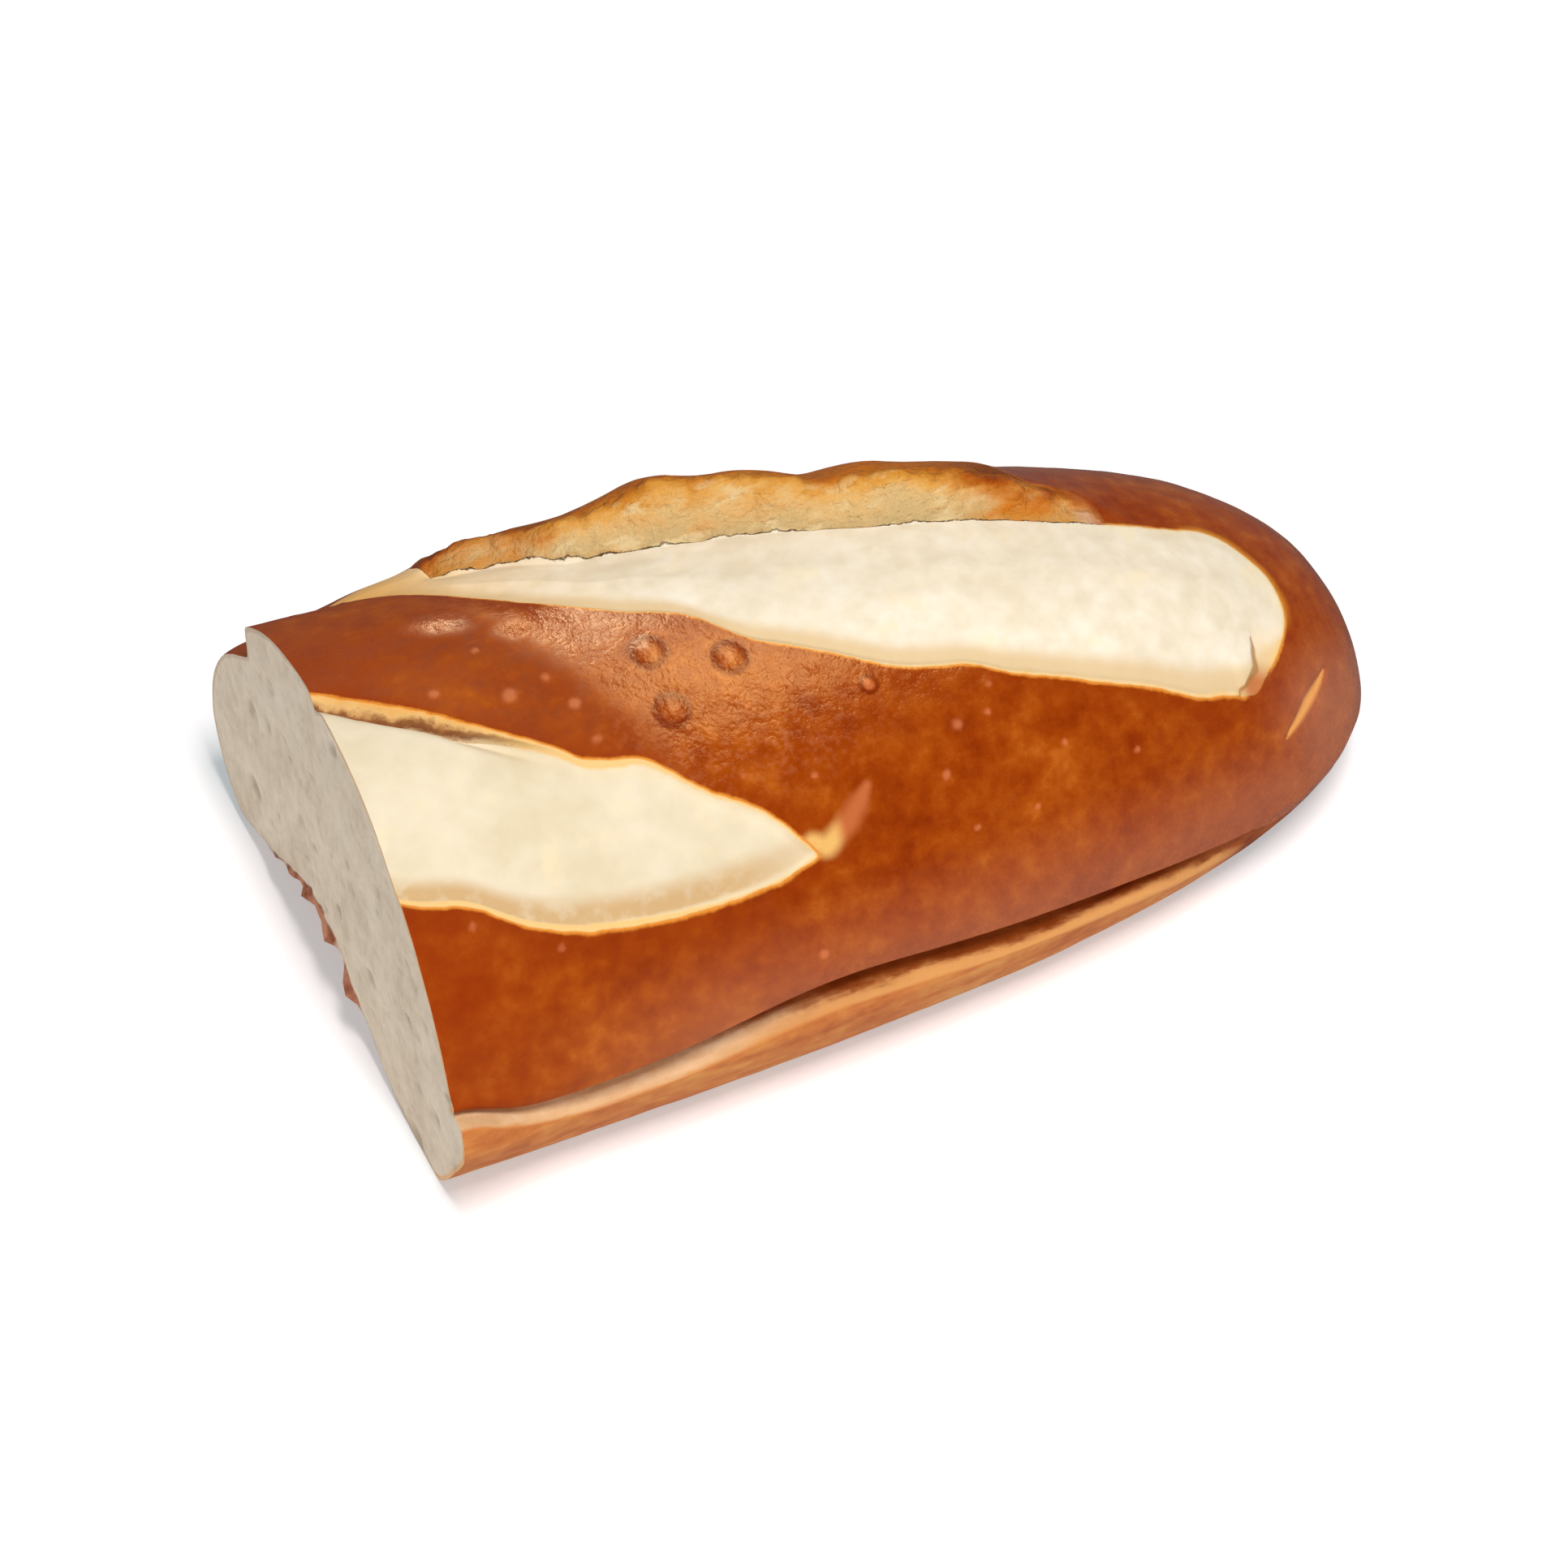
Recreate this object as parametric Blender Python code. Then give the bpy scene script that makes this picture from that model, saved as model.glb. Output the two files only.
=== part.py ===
"""Half of a pretzel stick roll: a lye-crust loaf cut across with a knife.

The cut face lies in the plane x = 0, the round end points along +X, the loaf rests on z = 0 and
its side crease is on the -Y side. All sizes are in metres.
"""

import bmesh
import bpy
import numpy as np

# The smooth loaf
LENGTH = 0.1257  # cut face to round end
NEAR_HALF = 0.0382  # half width on the -Y side, at the cut
FAR_HALF = 0.0368  # half width on the +Y side, at the cut
HEIGHT = 0.0468  # at the cut
SWELL = 0.010  # extra height half way along, as a share
TIP_HEIGHT = 0.0117  # height of the round end's nose
WIDEST = 0.25  # height of the widest line, as a share of the section's height
FLAT = 0.80  # half width of the resting face, as a share of the half width
END_BEND = -0.0023  # sideways drift of the round end
BASE_LEVEL = 0.0004  # how far the base is pressed level by the weight on it

# Plan and side outlines taper as (1 - u^along)^(1 / across), u running from the cut to the round end
NEAR_TAPER = (2.31, 2.8)
FAR_TAPER = (2.52, 2.69)
TOP_TAPER = (3.25, 2.0)
BASE_TAPER = (4.83, 2.2)

# Superellipse powers of the section, above and below its widest line
OVER_WIDTH, OVER_RISE = 0.92, 1.30
UNDER_WIDTH, UNDER_DROP = 1.60, 1.34

# Long score: a leaf from behind the top of the cut to a round cap near the end
SCORE_TURN_X, SCORE_TURN_Y = 0.097, -0.0217  # lowest point of its near edge
SCORE_RISE = 0.0490  # rise of that edge from there to the cut
SCORE_CUT_DIP = 0.0032  # the edge's fall just at the cut
SCORE_CUT_REACH = 0.004
WALL_START = 0.0203  # far edge of the floor, at the cut
WALL_SLOPE = -0.217
WALL_SAG = 0.0028
WALL_SAG_FROM, WALL_SAG_SPAN = 0.019, 0.091
WALL_HOOK, WALL_HOOK_REACH = 0.006, 0.009
CAP_X, CAP_Y, CAP_RADIUS = 0.104, -0.0125, 0.0095
CAP_CORNER = 0.0017  # how far the cap's near corner is flattened
CAP_CORNER_X, CAP_CORNER_Y, CAP_CORNER_REACH = 0.1095, -0.0190, 0.0042

# Torn ear along the far edge of the long score
EAR_RUN = 0.0034  # plan width of the torn wall
EAR_BACK = 0.015  # width of the slope behind the crest
EAR_CREST = (  # places along the loaf and the crest's heights there over the smooth loaf
    (0.0090, 0.0),
    (0.0140, 0.0003),
    (0.0190, 0.0007),
    (0.0220, 0.0016),
    (0.0260, 0.0024),
    (0.0300, 0.0027),
    (0.0340, 0.0034),
    (0.0380, 0.0037),
    (0.0415, 0.0049),
    (0.0445, 0.0062),
    (0.0470, 0.0066),
    (0.0500, 0.0059),
    (0.0530, 0.0053),
    (0.0555, 0.0056),
    (0.0590, 0.0051),
    (0.0620, 0.0042),
    (0.0643, 0.0036),
    (0.0670, 0.0046),
    (0.0705, 0.0050),
    (0.0750, 0.0043),
    (0.0800, 0.0040),
    (0.0840, 0.0035),
    (0.0870, 0.0022),
    (0.0910, 0.0012),
    (0.0980, 0.0),
)
CREST_BLUR = np.linspace(-0.0013, 0.0013, 5)  # steps along the loaf over which the heights are averaged

# Turns and shares of the length over which the relief of the top fades out
FADE_FAR, FADE_NEAR, FADE_NOSE = (0.05, 0.30), (1.90, 2.0), (0.985, 1.0)

# Floors of both scores
FLOOR_STEP = 0.0006  # drop from the crust's lip to the floor
FLOOR_CROWN = 0.0008  # bulge of the floor's middle
FLOOR_WIDTH = 0.008
LIP_WIDTH = 0.0014
WALL_DIP, WALL_DIP_WIDTH = 0.0009, 0.004
FAR_DROP, FAR_DROP_REACH = 0.0033, 0.009  # step down beside the cut
FAR_DROP_ROUND, FAR_DROP_RUN, FAR_DROP_WIDTH = 0.0008, 0.0012, 0.0095
LOBE_SWELL, LOBE_REACH = 0.0011, 0.012  # swelling of the far side beside the cut
LOBE_LOW, LOBE_HIGH = (-0.5, -0.2), (0.30, 0.55)  # turns over which it rises and falls

# Short score: a leaf that the knife cut across
SHORT_TOP, SHORT_SLOPE = 0.0006, -0.61
SHORT_SAG = 0.0027
SHORT_LENGTH = 0.050
SHORT_LOW_X, SHORT_LOW_Y = 0.032, -0.0317
SHORT_LOW_RISE = 0.0072
SHORT_LOW_LIFT = 0.0005
SHORT_CREVICE, SHORT_CREVICE_WIDTH, SHORT_CREVICE_END = 0.0022, 0.0020, 0.020

# Crease along the near side, with a ledge under it
CREASE_HEIGHT = 0.0150
CREASE_LIFT, CREASE_LIFT_X, CREASE_LIFT_REACH = 0.0024, 0.046, 0.017
CREASE_DROP, CREASE_DROP_FROM, CREASE_DROP_SPAN = 0.0050, 0.060, 0.045
CREASE_END = (0.088, 0.106)
CREASE_CUT_RISE, CREASE_CUT_REACH = 0.0024, 0.006
LEDGE_AT_CUT, LEDGE, LEDGE_WIDEN = 0.0014, 0.0042, 0.021  # drop from the crease to the ledge's edge
CREASE_DEPTH = 0.0034
CREASE_CUT_SHARE, CREASE_DEEPEN = 0.3, 0.025  # share of the depth at the cut, way to the full depth
CREASE_LIP = 0.0005
LIP_AT, LIP_SPREAD = -0.4, 0.5  # the lip's swelling, in ledge widths above it
LEAST_LEDGE_TURN = 0.02
GROOVE_STEEP = 0.25  # share of the ledge over which the groove falls
FOOT_SWELL, FOOT_SWELL_REACH = 0.0022, 0.008  # swelling of the foot at the cut
FOOT_SWELL_FROM, FOOT_SWELL_FALL = 0.35, 0.35  # share of the ledge where it begins, turns of its fall

# Resting face and knife cut
BASE_ARCH, BASE_ARCH_REACH, BASE_ARCH_Y = 0.0110, 0.018, 0.004  # hollow under the cut edge
ARCH_NEAR, ARCH_FAR = (0.016, 3.0), (0.0195, 2.0)  # its width and power on either side
CRAG_HANG = 0.35  # how far a crag hangs down, as a share of how far it stands out of the cut
CRAGS = (  # torn bits of bottom crust that stand out of the cut's lower edge: y, width and size
    (0.0170, 0.0030, 0.0006),
    (0.0110, 0.0025, 0.0011),
    (0.0065, 0.0014, 0.0016),
    (0.0030, 0.0014, 0.0011),
    (-0.0005, 0.0017, 0.0012),
    (-0.0068, 0.0020, 0.0014),
)

# Grid of the crust (rings from the nose to the cut) and of the cut face
RINGS = 55
FACE_RINGS = 6
AROUND = 88
NOSE_POWER, NOSE_CROWD = 2.3, 0.12  # crowding of the rings at the nose
FACE_CROWD = 1.6  # crowding of the face's rings at its edge
HELD_FROM = 0.9  # past this share of the length the grid lines only close in
LEAST_FLOOR = 0.002  # least width kept between the grid lines of the floor
NORMAL_STEP = 1e-4  # step of the differences that give the normal
MOST_ACROSS = 0.995  # share of the half width past which the score's grid lines stay put
TINY = 1e-9
# Grid places, as shares of a turn, of: far side, crest, wall foot, near edge, crease lip, groove,
# ledge edge, near and far edges of the resting face, far side again
STOP_SHARES = (0.0, 0.16, 0.205, 0.36, 0.60, 0.615, 0.645, 0.70, 0.93, 1.0)

CRUST_BROWN = (0.42, 0.085, 0.012, 1.0)
NODE_NAME = "pretzel_roll"


def clear_scene():
    """Empty the open file."""
    for item in list(bpy.data.objects):
        bpy.data.objects.remove(item, do_unlink=True)


def new_collection(name):
    """A collection linked to the scene."""
    collection = bpy.data.collections.new(name)
    bpy.context.scene.collection.children.link(collection)
    return collection


def hump(value, centre, width):
    """Bell curve, 1 at its centre."""
    return np.exp(-(((value - centre) / width) ** 2))


def ramp(value, low, high):
    """Smooth step, 0 up to low and 1 from high on."""
    share = np.clip((value - low) / (high - low), 0.0, 1.0)
    return share * share * (3.0 - 2.0 * share)


def taper(u, powers):
    """(1 - u^along)^(1 / across)."""
    along, across = powers
    return np.maximum(1.0 - u**along, 0.0) ** (1.0 / across)


def near_width(u):
    """Half width of the smooth loaf on the -Y side."""
    return NEAR_HALF * taper(u, NEAR_TAPER)


def far_width(u):
    """Half width of the smooth loaf on the +Y side."""
    return FAR_HALF * taper(u, FAR_TAPER)


def section_heights(u):
    """Heights of the section's base, widest line and top."""
    crown = HEIGHT * (1.0 + SWELL * 4.0 * u * (1.0 - u))
    top = TIP_HEIGHT + (crown - TIP_HEIGHT) * taper(u, TOP_TAPER)
    base = np.maximum(TIP_HEIGHT - TIP_HEIGHT * taper(u, BASE_TAPER) - BASE_LEVEL, 0.0)
    return base, base + (top - base) * WIDEST, top


def smooth_loaf(u, turn):
    """Point of the loaf before its relief.

    turn runs once round the section: 0 on the far side, 1 on top, 2 on the near side, 2.5 at the
    near edge of the resting face, 3.5 at its far edge and 4 on the far side again. Above the
    widest line the section is a superellipse with one half width on each side; below it a
    quarter superellipse leads to the resting face.
    """
    base, widest, top = section_heights(u)
    near, far = near_width(u), far_width(u)
    over = np.clip(turn, 0.0, 2.0) * np.pi / 2
    across = np.cos(over)
    y_over = np.where(across > 0, far, near) * np.sign(across) * np.abs(across) ** OVER_WIDTH
    z_over = widest + (top - widest) * np.abs(np.sin(over)) ** OVER_RISE
    near_under = np.clip(turn - 2.0, 0.0, 0.5) * np.pi
    far_under = np.clip(4.0 - turn, 0.0, 0.5) * np.pi
    under = np.where(turn < 3.0, near_under, far_under)
    shrink = FLAT + (1.0 - FLAT) * np.abs(np.cos(under)) ** UNDER_WIDTH
    y_under = np.where(turn < 3.0, -near, far) * shrink
    z_under = widest - (widest - base) * np.abs(np.sin(under)) ** UNDER_DROP
    along_flat = np.clip(turn - 2.5, 0.0, 1.0)
    y_flat = FLAT * (-near + (near + far) * along_flat)
    on_flat = (turn > 2.5) & (turn < 3.5)
    y = np.where(turn <= 2.0, y_over, np.where(on_flat, y_flat, y_under))
    z = np.where(turn <= 2.0, z_over, np.where(on_flat, base, z_under))
    return np.stack([LENGTH * u, y + END_BEND * u * u, z], axis=-1)


def outward(u, turn):
    """Unit normal of the smooth loaf, from central differences."""
    ahead, behind = np.minimum(u + NORMAL_STEP, 1.0), np.maximum(u - NORMAL_STEP, 0.0)
    along = smooth_loaf(ahead, turn) - smooth_loaf(behind, turn)
    around = smooth_loaf(u, (turn + NORMAL_STEP) % 4.0) - smooth_loaf(u, (turn - NORMAL_STEP) % 4.0)
    normal = np.cross(around, along)
    return normal / np.maximum(np.linalg.norm(normal, axis=-1, keepdims=True), TINY**2)


def turn_at(u, y):
    """The turn on the upper half where the smooth loaf lies at y."""
    y = y - END_BEND * u * u
    half = np.where(y > 0, far_width(u), near_width(u))
    share = np.clip(np.abs(y) / np.maximum(half, TINY), 0.0, MOST_ACROSS) ** (1.0 / OVER_WIDTH)
    return np.arccos(np.sign(y) * share) * 2 / np.pi


def turn_at_height(u, z):
    """The turn on the near side where the smooth loaf lies at height z."""
    base, widest, top = section_heights(u)
    above = np.clip((z - widest) / np.maximum(top - widest, TINY), 0.0, 1.0) ** (1.0 / OVER_RISE)
    below = np.clip((widest - z) / np.maximum(widest - base, TINY), 0.0, 1.0) ** (1.0 / UNDER_DROP)
    return 2.0 - np.arcsin(above) * 2 / np.pi + np.arcsin(below) / np.pi


def score_near_edge(x):
    """y of the long score's near edge: a parabola down to its lowest point, then level."""
    share = np.maximum(SCORE_TURN_X - x, 0.0) / SCORE_TURN_X
    return SCORE_TURN_Y + SCORE_RISE * share**2 - SCORE_CUT_DIP * hump(x, 0.0, SCORE_CUT_REACH)


def score_far_edge(x):
    """y of the far edge of the long score's floor, the foot of the torn wall."""
    sag = WALL_SAG * np.sin(np.pi * np.clip((x - WALL_SAG_FROM) / WALL_SAG_SPAN, 0.0, 1.0))
    return WALL_START + WALL_SLOPE * x - sag + WALL_HOOK * hump(x, 0.0, WALL_HOOK_REACH)


def crest_height(x):
    """Height of the ear's crest over the smooth loaf: the listed heights, averaged over a short way."""
    place, height = np.array(EAR_CREST).T
    return sum(np.interp(x + step, place, height) for step in CREST_BLUR) / len(CREST_BLUR)


def long_score(x, y):
    """Relief of the long score: sunk lip, crowned floor, torn wall, ear and its back."""
    from_near = y - score_near_edge(x)
    beyond = y - score_far_edge(x)
    corner = CAP_CORNER * hump(np.hypot(x - CAP_CORNER_X, y - CAP_CORNER_Y), 0.0, CAP_CORNER_REACH)
    in_cap = CAP_RADIUS - np.hypot(x - CAP_X, y - CAP_Y) - corner
    inside = np.where(x > CAP_X, in_cap, np.minimum(from_near, -beyond))
    floor = -FLOOR_STEP * ramp(inside, 0.0, LIP_WIDTH) + FLOOR_CROWN * ramp(inside, 0.0, FLOOR_WIDTH)
    dip = WALL_DIP * ramp(inside, 0.0, LIP_WIDTH) * hump(beyond, 0.0, WALL_DIP_WIDTH)
    rise = ramp(beyond, 0.0, EAR_RUN) * (1.0 - ramp(beyond, EAR_RUN, EAR_RUN + EAR_BACK))
    fall = ramp(from_near, -FAR_DROP_ROUND, FAR_DROP_RUN)
    step = fall * (1.0 - ramp(from_near, FAR_DROP_RUN, FAR_DROP_WIDTH))
    far_drop = FAR_DROP * hump(x, 0.0, FAR_DROP_REACH) * step
    return floor - dip + crest_height(x) * rise - far_drop


def short_score(x, y):
    """Relief of the short score: sunk lip, crowned floor and a crevice under its far edge."""
    share = np.clip(x / SHORT_LENGTH, 0.0, 1.0)
    far_edge = SHORT_TOP + SHORT_SLOPE * x - SHORT_SAG * np.sin(np.pi * share)
    near_edge = SHORT_LOW_Y + SHORT_LOW_LIFT + SHORT_LOW_RISE * ((x - SHORT_LOW_X) / SHORT_LOW_X) ** 2
    inside = np.minimum(y - near_edge, far_edge - y)
    floor = -FLOOR_STEP * ramp(inside, 0.0, LIP_WIDTH) + FLOOR_CROWN * ramp(inside, 0.0, FLOOR_WIDTH)
    across = hump(far_edge - y, SHORT_CREVICE_WIDTH, SHORT_CREVICE_WIDTH)
    crevice = SHORT_CREVICE * across * (1.0 - ramp(x, 0.0, SHORT_CREVICE_END))
    return np.where(x < SHORT_LENGTH, floor - crevice, 0.0)


def crease_turns(u):
    """Turns of the crease's lip and of the ledge's outer edge."""
    x = LENGTH * u
    lift = CREASE_LIFT * hump(x, CREASE_LIFT_X, CREASE_LIFT_REACH)
    drop = CREASE_DROP * (np.maximum(x - CREASE_DROP_FROM, 0.0) / CREASE_DROP_SPAN) ** 2
    height = CREASE_HEIGHT + lift - drop + CREASE_CUT_RISE * hump(x, 0.0, CREASE_CUT_REACH)
    lip = turn_at_height(u, height)
    ledge = LEDGE_AT_CUT + (LEDGE - LEDGE_AT_CUT) * ramp(x, 0.0, LEDGE_WIDEN)
    return lip, np.maximum(turn_at_height(u, height - ledge), lip + LEAST_LEDGE_TURN)


def crease(u, turn):
    """Relief of the side crease: a lip, a sharp fall, a ledge that rises back and the foot's swelling."""
    lip, outer = crease_turns(u)
    share = (turn - lip) / (outer - lip)
    groove = ramp(share, 0.0, GROOVE_STEEP) * (1.0 - ramp(share, GROOVE_STEEP, 1.0))
    ridge = CREASE_LIP * hump(share, LIP_AT, LIP_SPREAD)
    x = LENGTH * u
    depth = CREASE_DEPTH * (CREASE_CUT_SHARE + (1.0 - CREASE_CUT_SHARE) * ramp(x, 0.0, CREASE_DEEPEN))
    below = ramp(share, FOOT_SWELL_FROM, 1.0) * (1.0 - ramp(turn, outer, outer + FOOT_SWELL_FALL))
    swelling = FOOT_SWELL * hump(x, 0.0, FOOT_SWELL_REACH) * below
    return (ridge - depth * groove) * (1.0 - ramp(x, *CREASE_END)) + swelling


def far_lobe(u, turn):
    """Relief of the far side beside the cut: a swelling that fades along the loaf, upwards and downwards."""
    signed = (turn + 2.0) % 4.0 - 2.0
    around = ramp(signed, *LOBE_LOW) * (1.0 - ramp(signed, *LOBE_HIGH))
    return LOBE_SWELL * hump(LENGTH * u, 0.0, LOBE_REACH) * around


def crust(u, turn):
    """Point of the finished crust: the smooth loaf moved along its normal by the relief."""
    point = smooth_loaf(u, turn)
    x, y = point[..., 0], point[..., 1]
    upper = ramp(turn, *FADE_FAR) * (1.0 - ramp(turn, *FADE_NEAR))
    relief = upper * (long_score(x, y) + short_score(x, y)) + crease(u, turn) + far_lobe(u, turn)
    relief = relief * (1.0 - ramp(u, *FADE_NOSE))
    point = point + outward(u, turn) * relief[..., None]
    point[..., 2] += BASE_ARCH * hump(x, 0.0, BASE_ARCH_REACH) * under_arch(point)
    return point


def under_arch(point):
    """Share of the hollow at the cut: exp(-(distance / width)^power) across the base, fading upwards."""
    away, z = point[..., 1] - BASE_ARCH_Y, point[..., 2]
    width, power = (np.where(away < 0, near, far) for near, far in zip(ARCH_NEAR, ARCH_FAR))
    return np.exp(-((np.abs(away) / width) ** power)) * (1.0 - ramp(z, 0.0, HEIGHT / 2))


def crags(y):
    """Size of the torn bits of bottom crust along the cut's lower edge."""
    return sum(size * hump(y, place, width) for place, width, size in CRAGS)


def ring_shares():
    """u of every crust ring, crowded at the nose: 1 - u = (1 + c) q^p / (q^(p - 1) + c)."""
    q = np.arange(RINGS + 1) / RINGS
    return 1.0 - (1.0 + NOSE_CROWD) * q**NOSE_POWER / (q ** (NOSE_POWER - 1.0) + NOSE_CROWD)


def ring_turns(u):
    """Turns of one ring's points, with grid lines on the ear's wall, the score and the crease."""
    held = min(u, HELD_FROM)
    x = LENGTH * held
    shrink = taper(u, NEAR_TAPER) / taper(held, NEAR_TAPER)
    far_edge = score_far_edge(x)
    near_edge = min(score_near_edge(x), far_edge - LEAST_FLOOR)
    across = np.array([far_edge + EAR_RUN, far_edge, near_edge]) * shrink
    lip, outer = crease_turns(held)
    under_lip = lip + GROOVE_STEEP * (outer - lip)
    stops = np.concatenate([[0.0], turn_at(u, across), [lip, under_lip, outer, 2.5, 3.5, 4.0]])
    return np.interp(np.arange(AROUND), np.round(np.array(STOP_SHARES) * AROUND), stops)


def loaf_grid():
    """Grid of points: crust rings from the nose to the cut, then rings that close the cut face."""
    shares = ring_shares()
    turns = np.array([ring_turns(u) for u in shares])
    rings = crust(np.broadcast_to(shares[:, None], turns.shape), turns)
    edge = rings[-1]
    edge[:, 0] = 0.0
    middle = np.array([0.0, 0.0, HEIGHT / 2])
    inward = 1.0 - (np.arange(1, FACE_RINGS + 1) / FACE_RINGS) ** FACE_CROWD
    face = middle + (edge - middle) * inward[:, None, None]
    on_base = (turns[-1] > 2.5) & (turns[-1] < 3.5)
    torn = crags(edge[:, 1]) * on_base
    edge[:, 0] -= torn
    edge[:, 2] = np.maximum(edge[:, 2] - CRAG_HANG * torn, 0.0)
    grid = np.concatenate([rings, face])
    low, high = grid.min(axis=(0, 1)), grid.max(axis=(0, 1))
    return grid - np.array([(low[0] + high[0]) / 2, (low[1] + high[1]) / 2, low[2]])


def map_loaf(mesh):
    """Carry a UV sphere onto the loaf: its upper rings become crust, its lower rings the cut face."""
    grid = loaf_grid()
    for vertex in mesh.verts:
        ring = round(np.arccos(np.clip(vertex.co.z, -1.0, 1.0)) * (RINGS + FACE_RINGS) / np.pi)
        place = round(np.arctan2(vertex.co.y, vertex.co.x) * AROUND / (2 * np.pi)) % AROUND
        vertex.co = grid[ring, place]


def build_loaf(collection):
    """The half loaf as one object."""
    mesh = bmesh.new()
    bmesh.ops.create_uvsphere(mesh, u_segments=AROUND, v_segments=RINGS + FACE_RINGS, radius=1.0)
    map_loaf(mesh)
    bmesh.ops.triangulate(mesh, faces=mesh.faces)
    bmesh.ops.recalc_face_normals(mesh, faces=mesh.faces)
    data = bpy.data.meshes.new(NODE_NAME)
    mesh.to_mesh(data)
    mesh.free()
    data.shade_smooth()
    loaf = bpy.data.objects.new(NODE_NAME, data)
    collection.objects.link(loaf)
    return loaf


def crust_material():
    """Glossy brown lye crust."""
    material = bpy.data.materials.new("lye_crust")
    material.use_nodes = True
    shader = material.node_tree.nodes["Principled BSDF"]
    shader.inputs["Base Color"].default_value = CRUST_BROWN
    shader.inputs["Roughness"].default_value = 0.45
    shader.inputs["Metallic"].default_value = 0.0
    return material


clear_scene()
parts = new_collection("pretzel_roll_parts")
half_loaf = build_loaf(parts)
half_loaf.data.materials.append(crust_material())
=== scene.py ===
"""Half of a pretzel stick roll on a pale floor: glossy lye crust, two pale scores, a torn ear, a side
crease over an orange-tan foot, and the crumb of the knife cut.

The shape is worked out in the cut frame: x = 0 on the cut and x = LENGTH at the round end, z = 0 on the
floor, -Y on the creased side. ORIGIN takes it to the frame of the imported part. Sizes are in metres, and
in the tables in millimetres.
"""

import bpy
import numpy as np
from mathutils import Matrix, Vector


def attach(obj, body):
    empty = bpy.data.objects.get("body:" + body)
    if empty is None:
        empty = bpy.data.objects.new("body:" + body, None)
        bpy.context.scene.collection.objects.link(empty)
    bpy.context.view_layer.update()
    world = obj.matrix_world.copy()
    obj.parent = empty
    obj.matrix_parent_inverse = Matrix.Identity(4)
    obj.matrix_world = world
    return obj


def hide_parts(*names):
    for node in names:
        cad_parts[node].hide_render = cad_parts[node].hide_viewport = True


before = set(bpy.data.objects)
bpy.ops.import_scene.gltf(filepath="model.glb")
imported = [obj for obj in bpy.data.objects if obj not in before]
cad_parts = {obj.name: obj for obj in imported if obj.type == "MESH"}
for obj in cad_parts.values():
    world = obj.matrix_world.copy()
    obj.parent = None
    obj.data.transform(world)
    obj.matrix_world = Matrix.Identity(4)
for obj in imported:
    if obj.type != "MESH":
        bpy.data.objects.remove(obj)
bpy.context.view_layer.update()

MM = 0.001
ORIGIN = np.array([0.062160, -0.000927, 0.0])  # the part's origin, in the cut frame

# ---------------------------------------------------------------- the loaf, as in the part's source
LENGTH, NEAR_HALF, FAR_HALF, HEIGHT = 0.1257, 0.0382, 0.0368, 0.0468
SWELL, TIP_HEIGHT, WIDEST, FLAT = 0.010, 0.0117, 0.25, 0.80
END_BEND, BASE_LEVEL = -0.0023, 0.0004
NEAR_TAPER, FAR_TAPER, TOP_TAPER, BASE_TAPER = (2.31, 2.8), (2.52, 2.69), (3.25, 2.0), (4.83, 2.2)
OVER_WIDTH, OVER_RISE, UNDER_WIDTH, UNDER_DROP = 0.92, 1.30, 1.60, 1.34

SCORE_TURN_X, SCORE_TURN_Y, SCORE_RISE = 0.097, -0.0217, 0.0490
SCORE_CUT_DIP, SCORE_CUT_REACH = 0.0032, 0.004
WALL_START, WALL_SLOPE, WALL_SAG, WALL_SAG_FROM, WALL_SAG_SPAN = 0.0203, -0.217, 0.0028, 0.019, 0.091
WALL_HOOK, WALL_HOOK_REACH = 0.006, 0.009
CAP_X, CAP_Y = 0.104, -0.0125
TEAR_START, OVER_TOP, FLOOR_LIMIT = (0.0190, 0.0212), 0.008, 0.0245  # where the ear's tear begins

# Crest of the ear: place along the loaf and height over the smooth loaf, in millimetres
EAR_CREST = (
    (9.0, 0.0), (14.0, 0.3), (19.0, 0.7), (22.0, 1.6), (26.0, 2.4), (30.0, 2.7), (34.0, 3.4), (38.0, 3.7),
    (41.5, 4.9), (44.5, 6.2), (47.0, 6.6), (50.0, 5.9), (53.0, 5.3), (55.5, 5.6), (59.0, 5.1), (62.0, 4.2),
    (64.3, 3.6), (67.0, 4.6), (70.5, 5.0), (75.0, 4.3), (80.0, 4.0), (84.0, 3.5), (87.0, 2.2), (91.0, 1.2),
    (98.0, 0.0),
)
CREST_BLUR = 0.0013
EAR_RUN, EAR_BACK = 0.0034, 0.015
FADE_FAR, FADE_NEAR, FADE_NOSE = (0.05, 0.30), (1.90, 2.0), (0.985, 1.0)

FLOOR_STEP, FLOOR_CROWN, FLOOR_WIDTH, LIP_WIDTH = 0.0006, 0.0008, 0.008, 0.0008
FAR_DROP, FAR_DROP_REACH = 0.0033, 0.009
FAR_DROP_ROUND, FAR_DROP_RUN, FAR_DROP_WIDTH = 0.0008, 0.0012, 0.0095
LOBE_SWELL, LOBE_REACH, LOBE_LOW, LOBE_HIGH = 0.0011, 0.012, (-0.5, -0.2), (0.30, 0.55)

SHORT_TOP, SHORT_SLOPE, SHORT_SAG, SHORT_LENGTH = 0.0006, -0.61, 0.0027, 0.050
SHORT_LOW_X, SHORT_LOW_Y, SHORT_LOW_RISE = 0.032, -0.0317, 0.0072
SHORT_SLANT, SHORT_CREVICE_END = 0.85, 0.020

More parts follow.
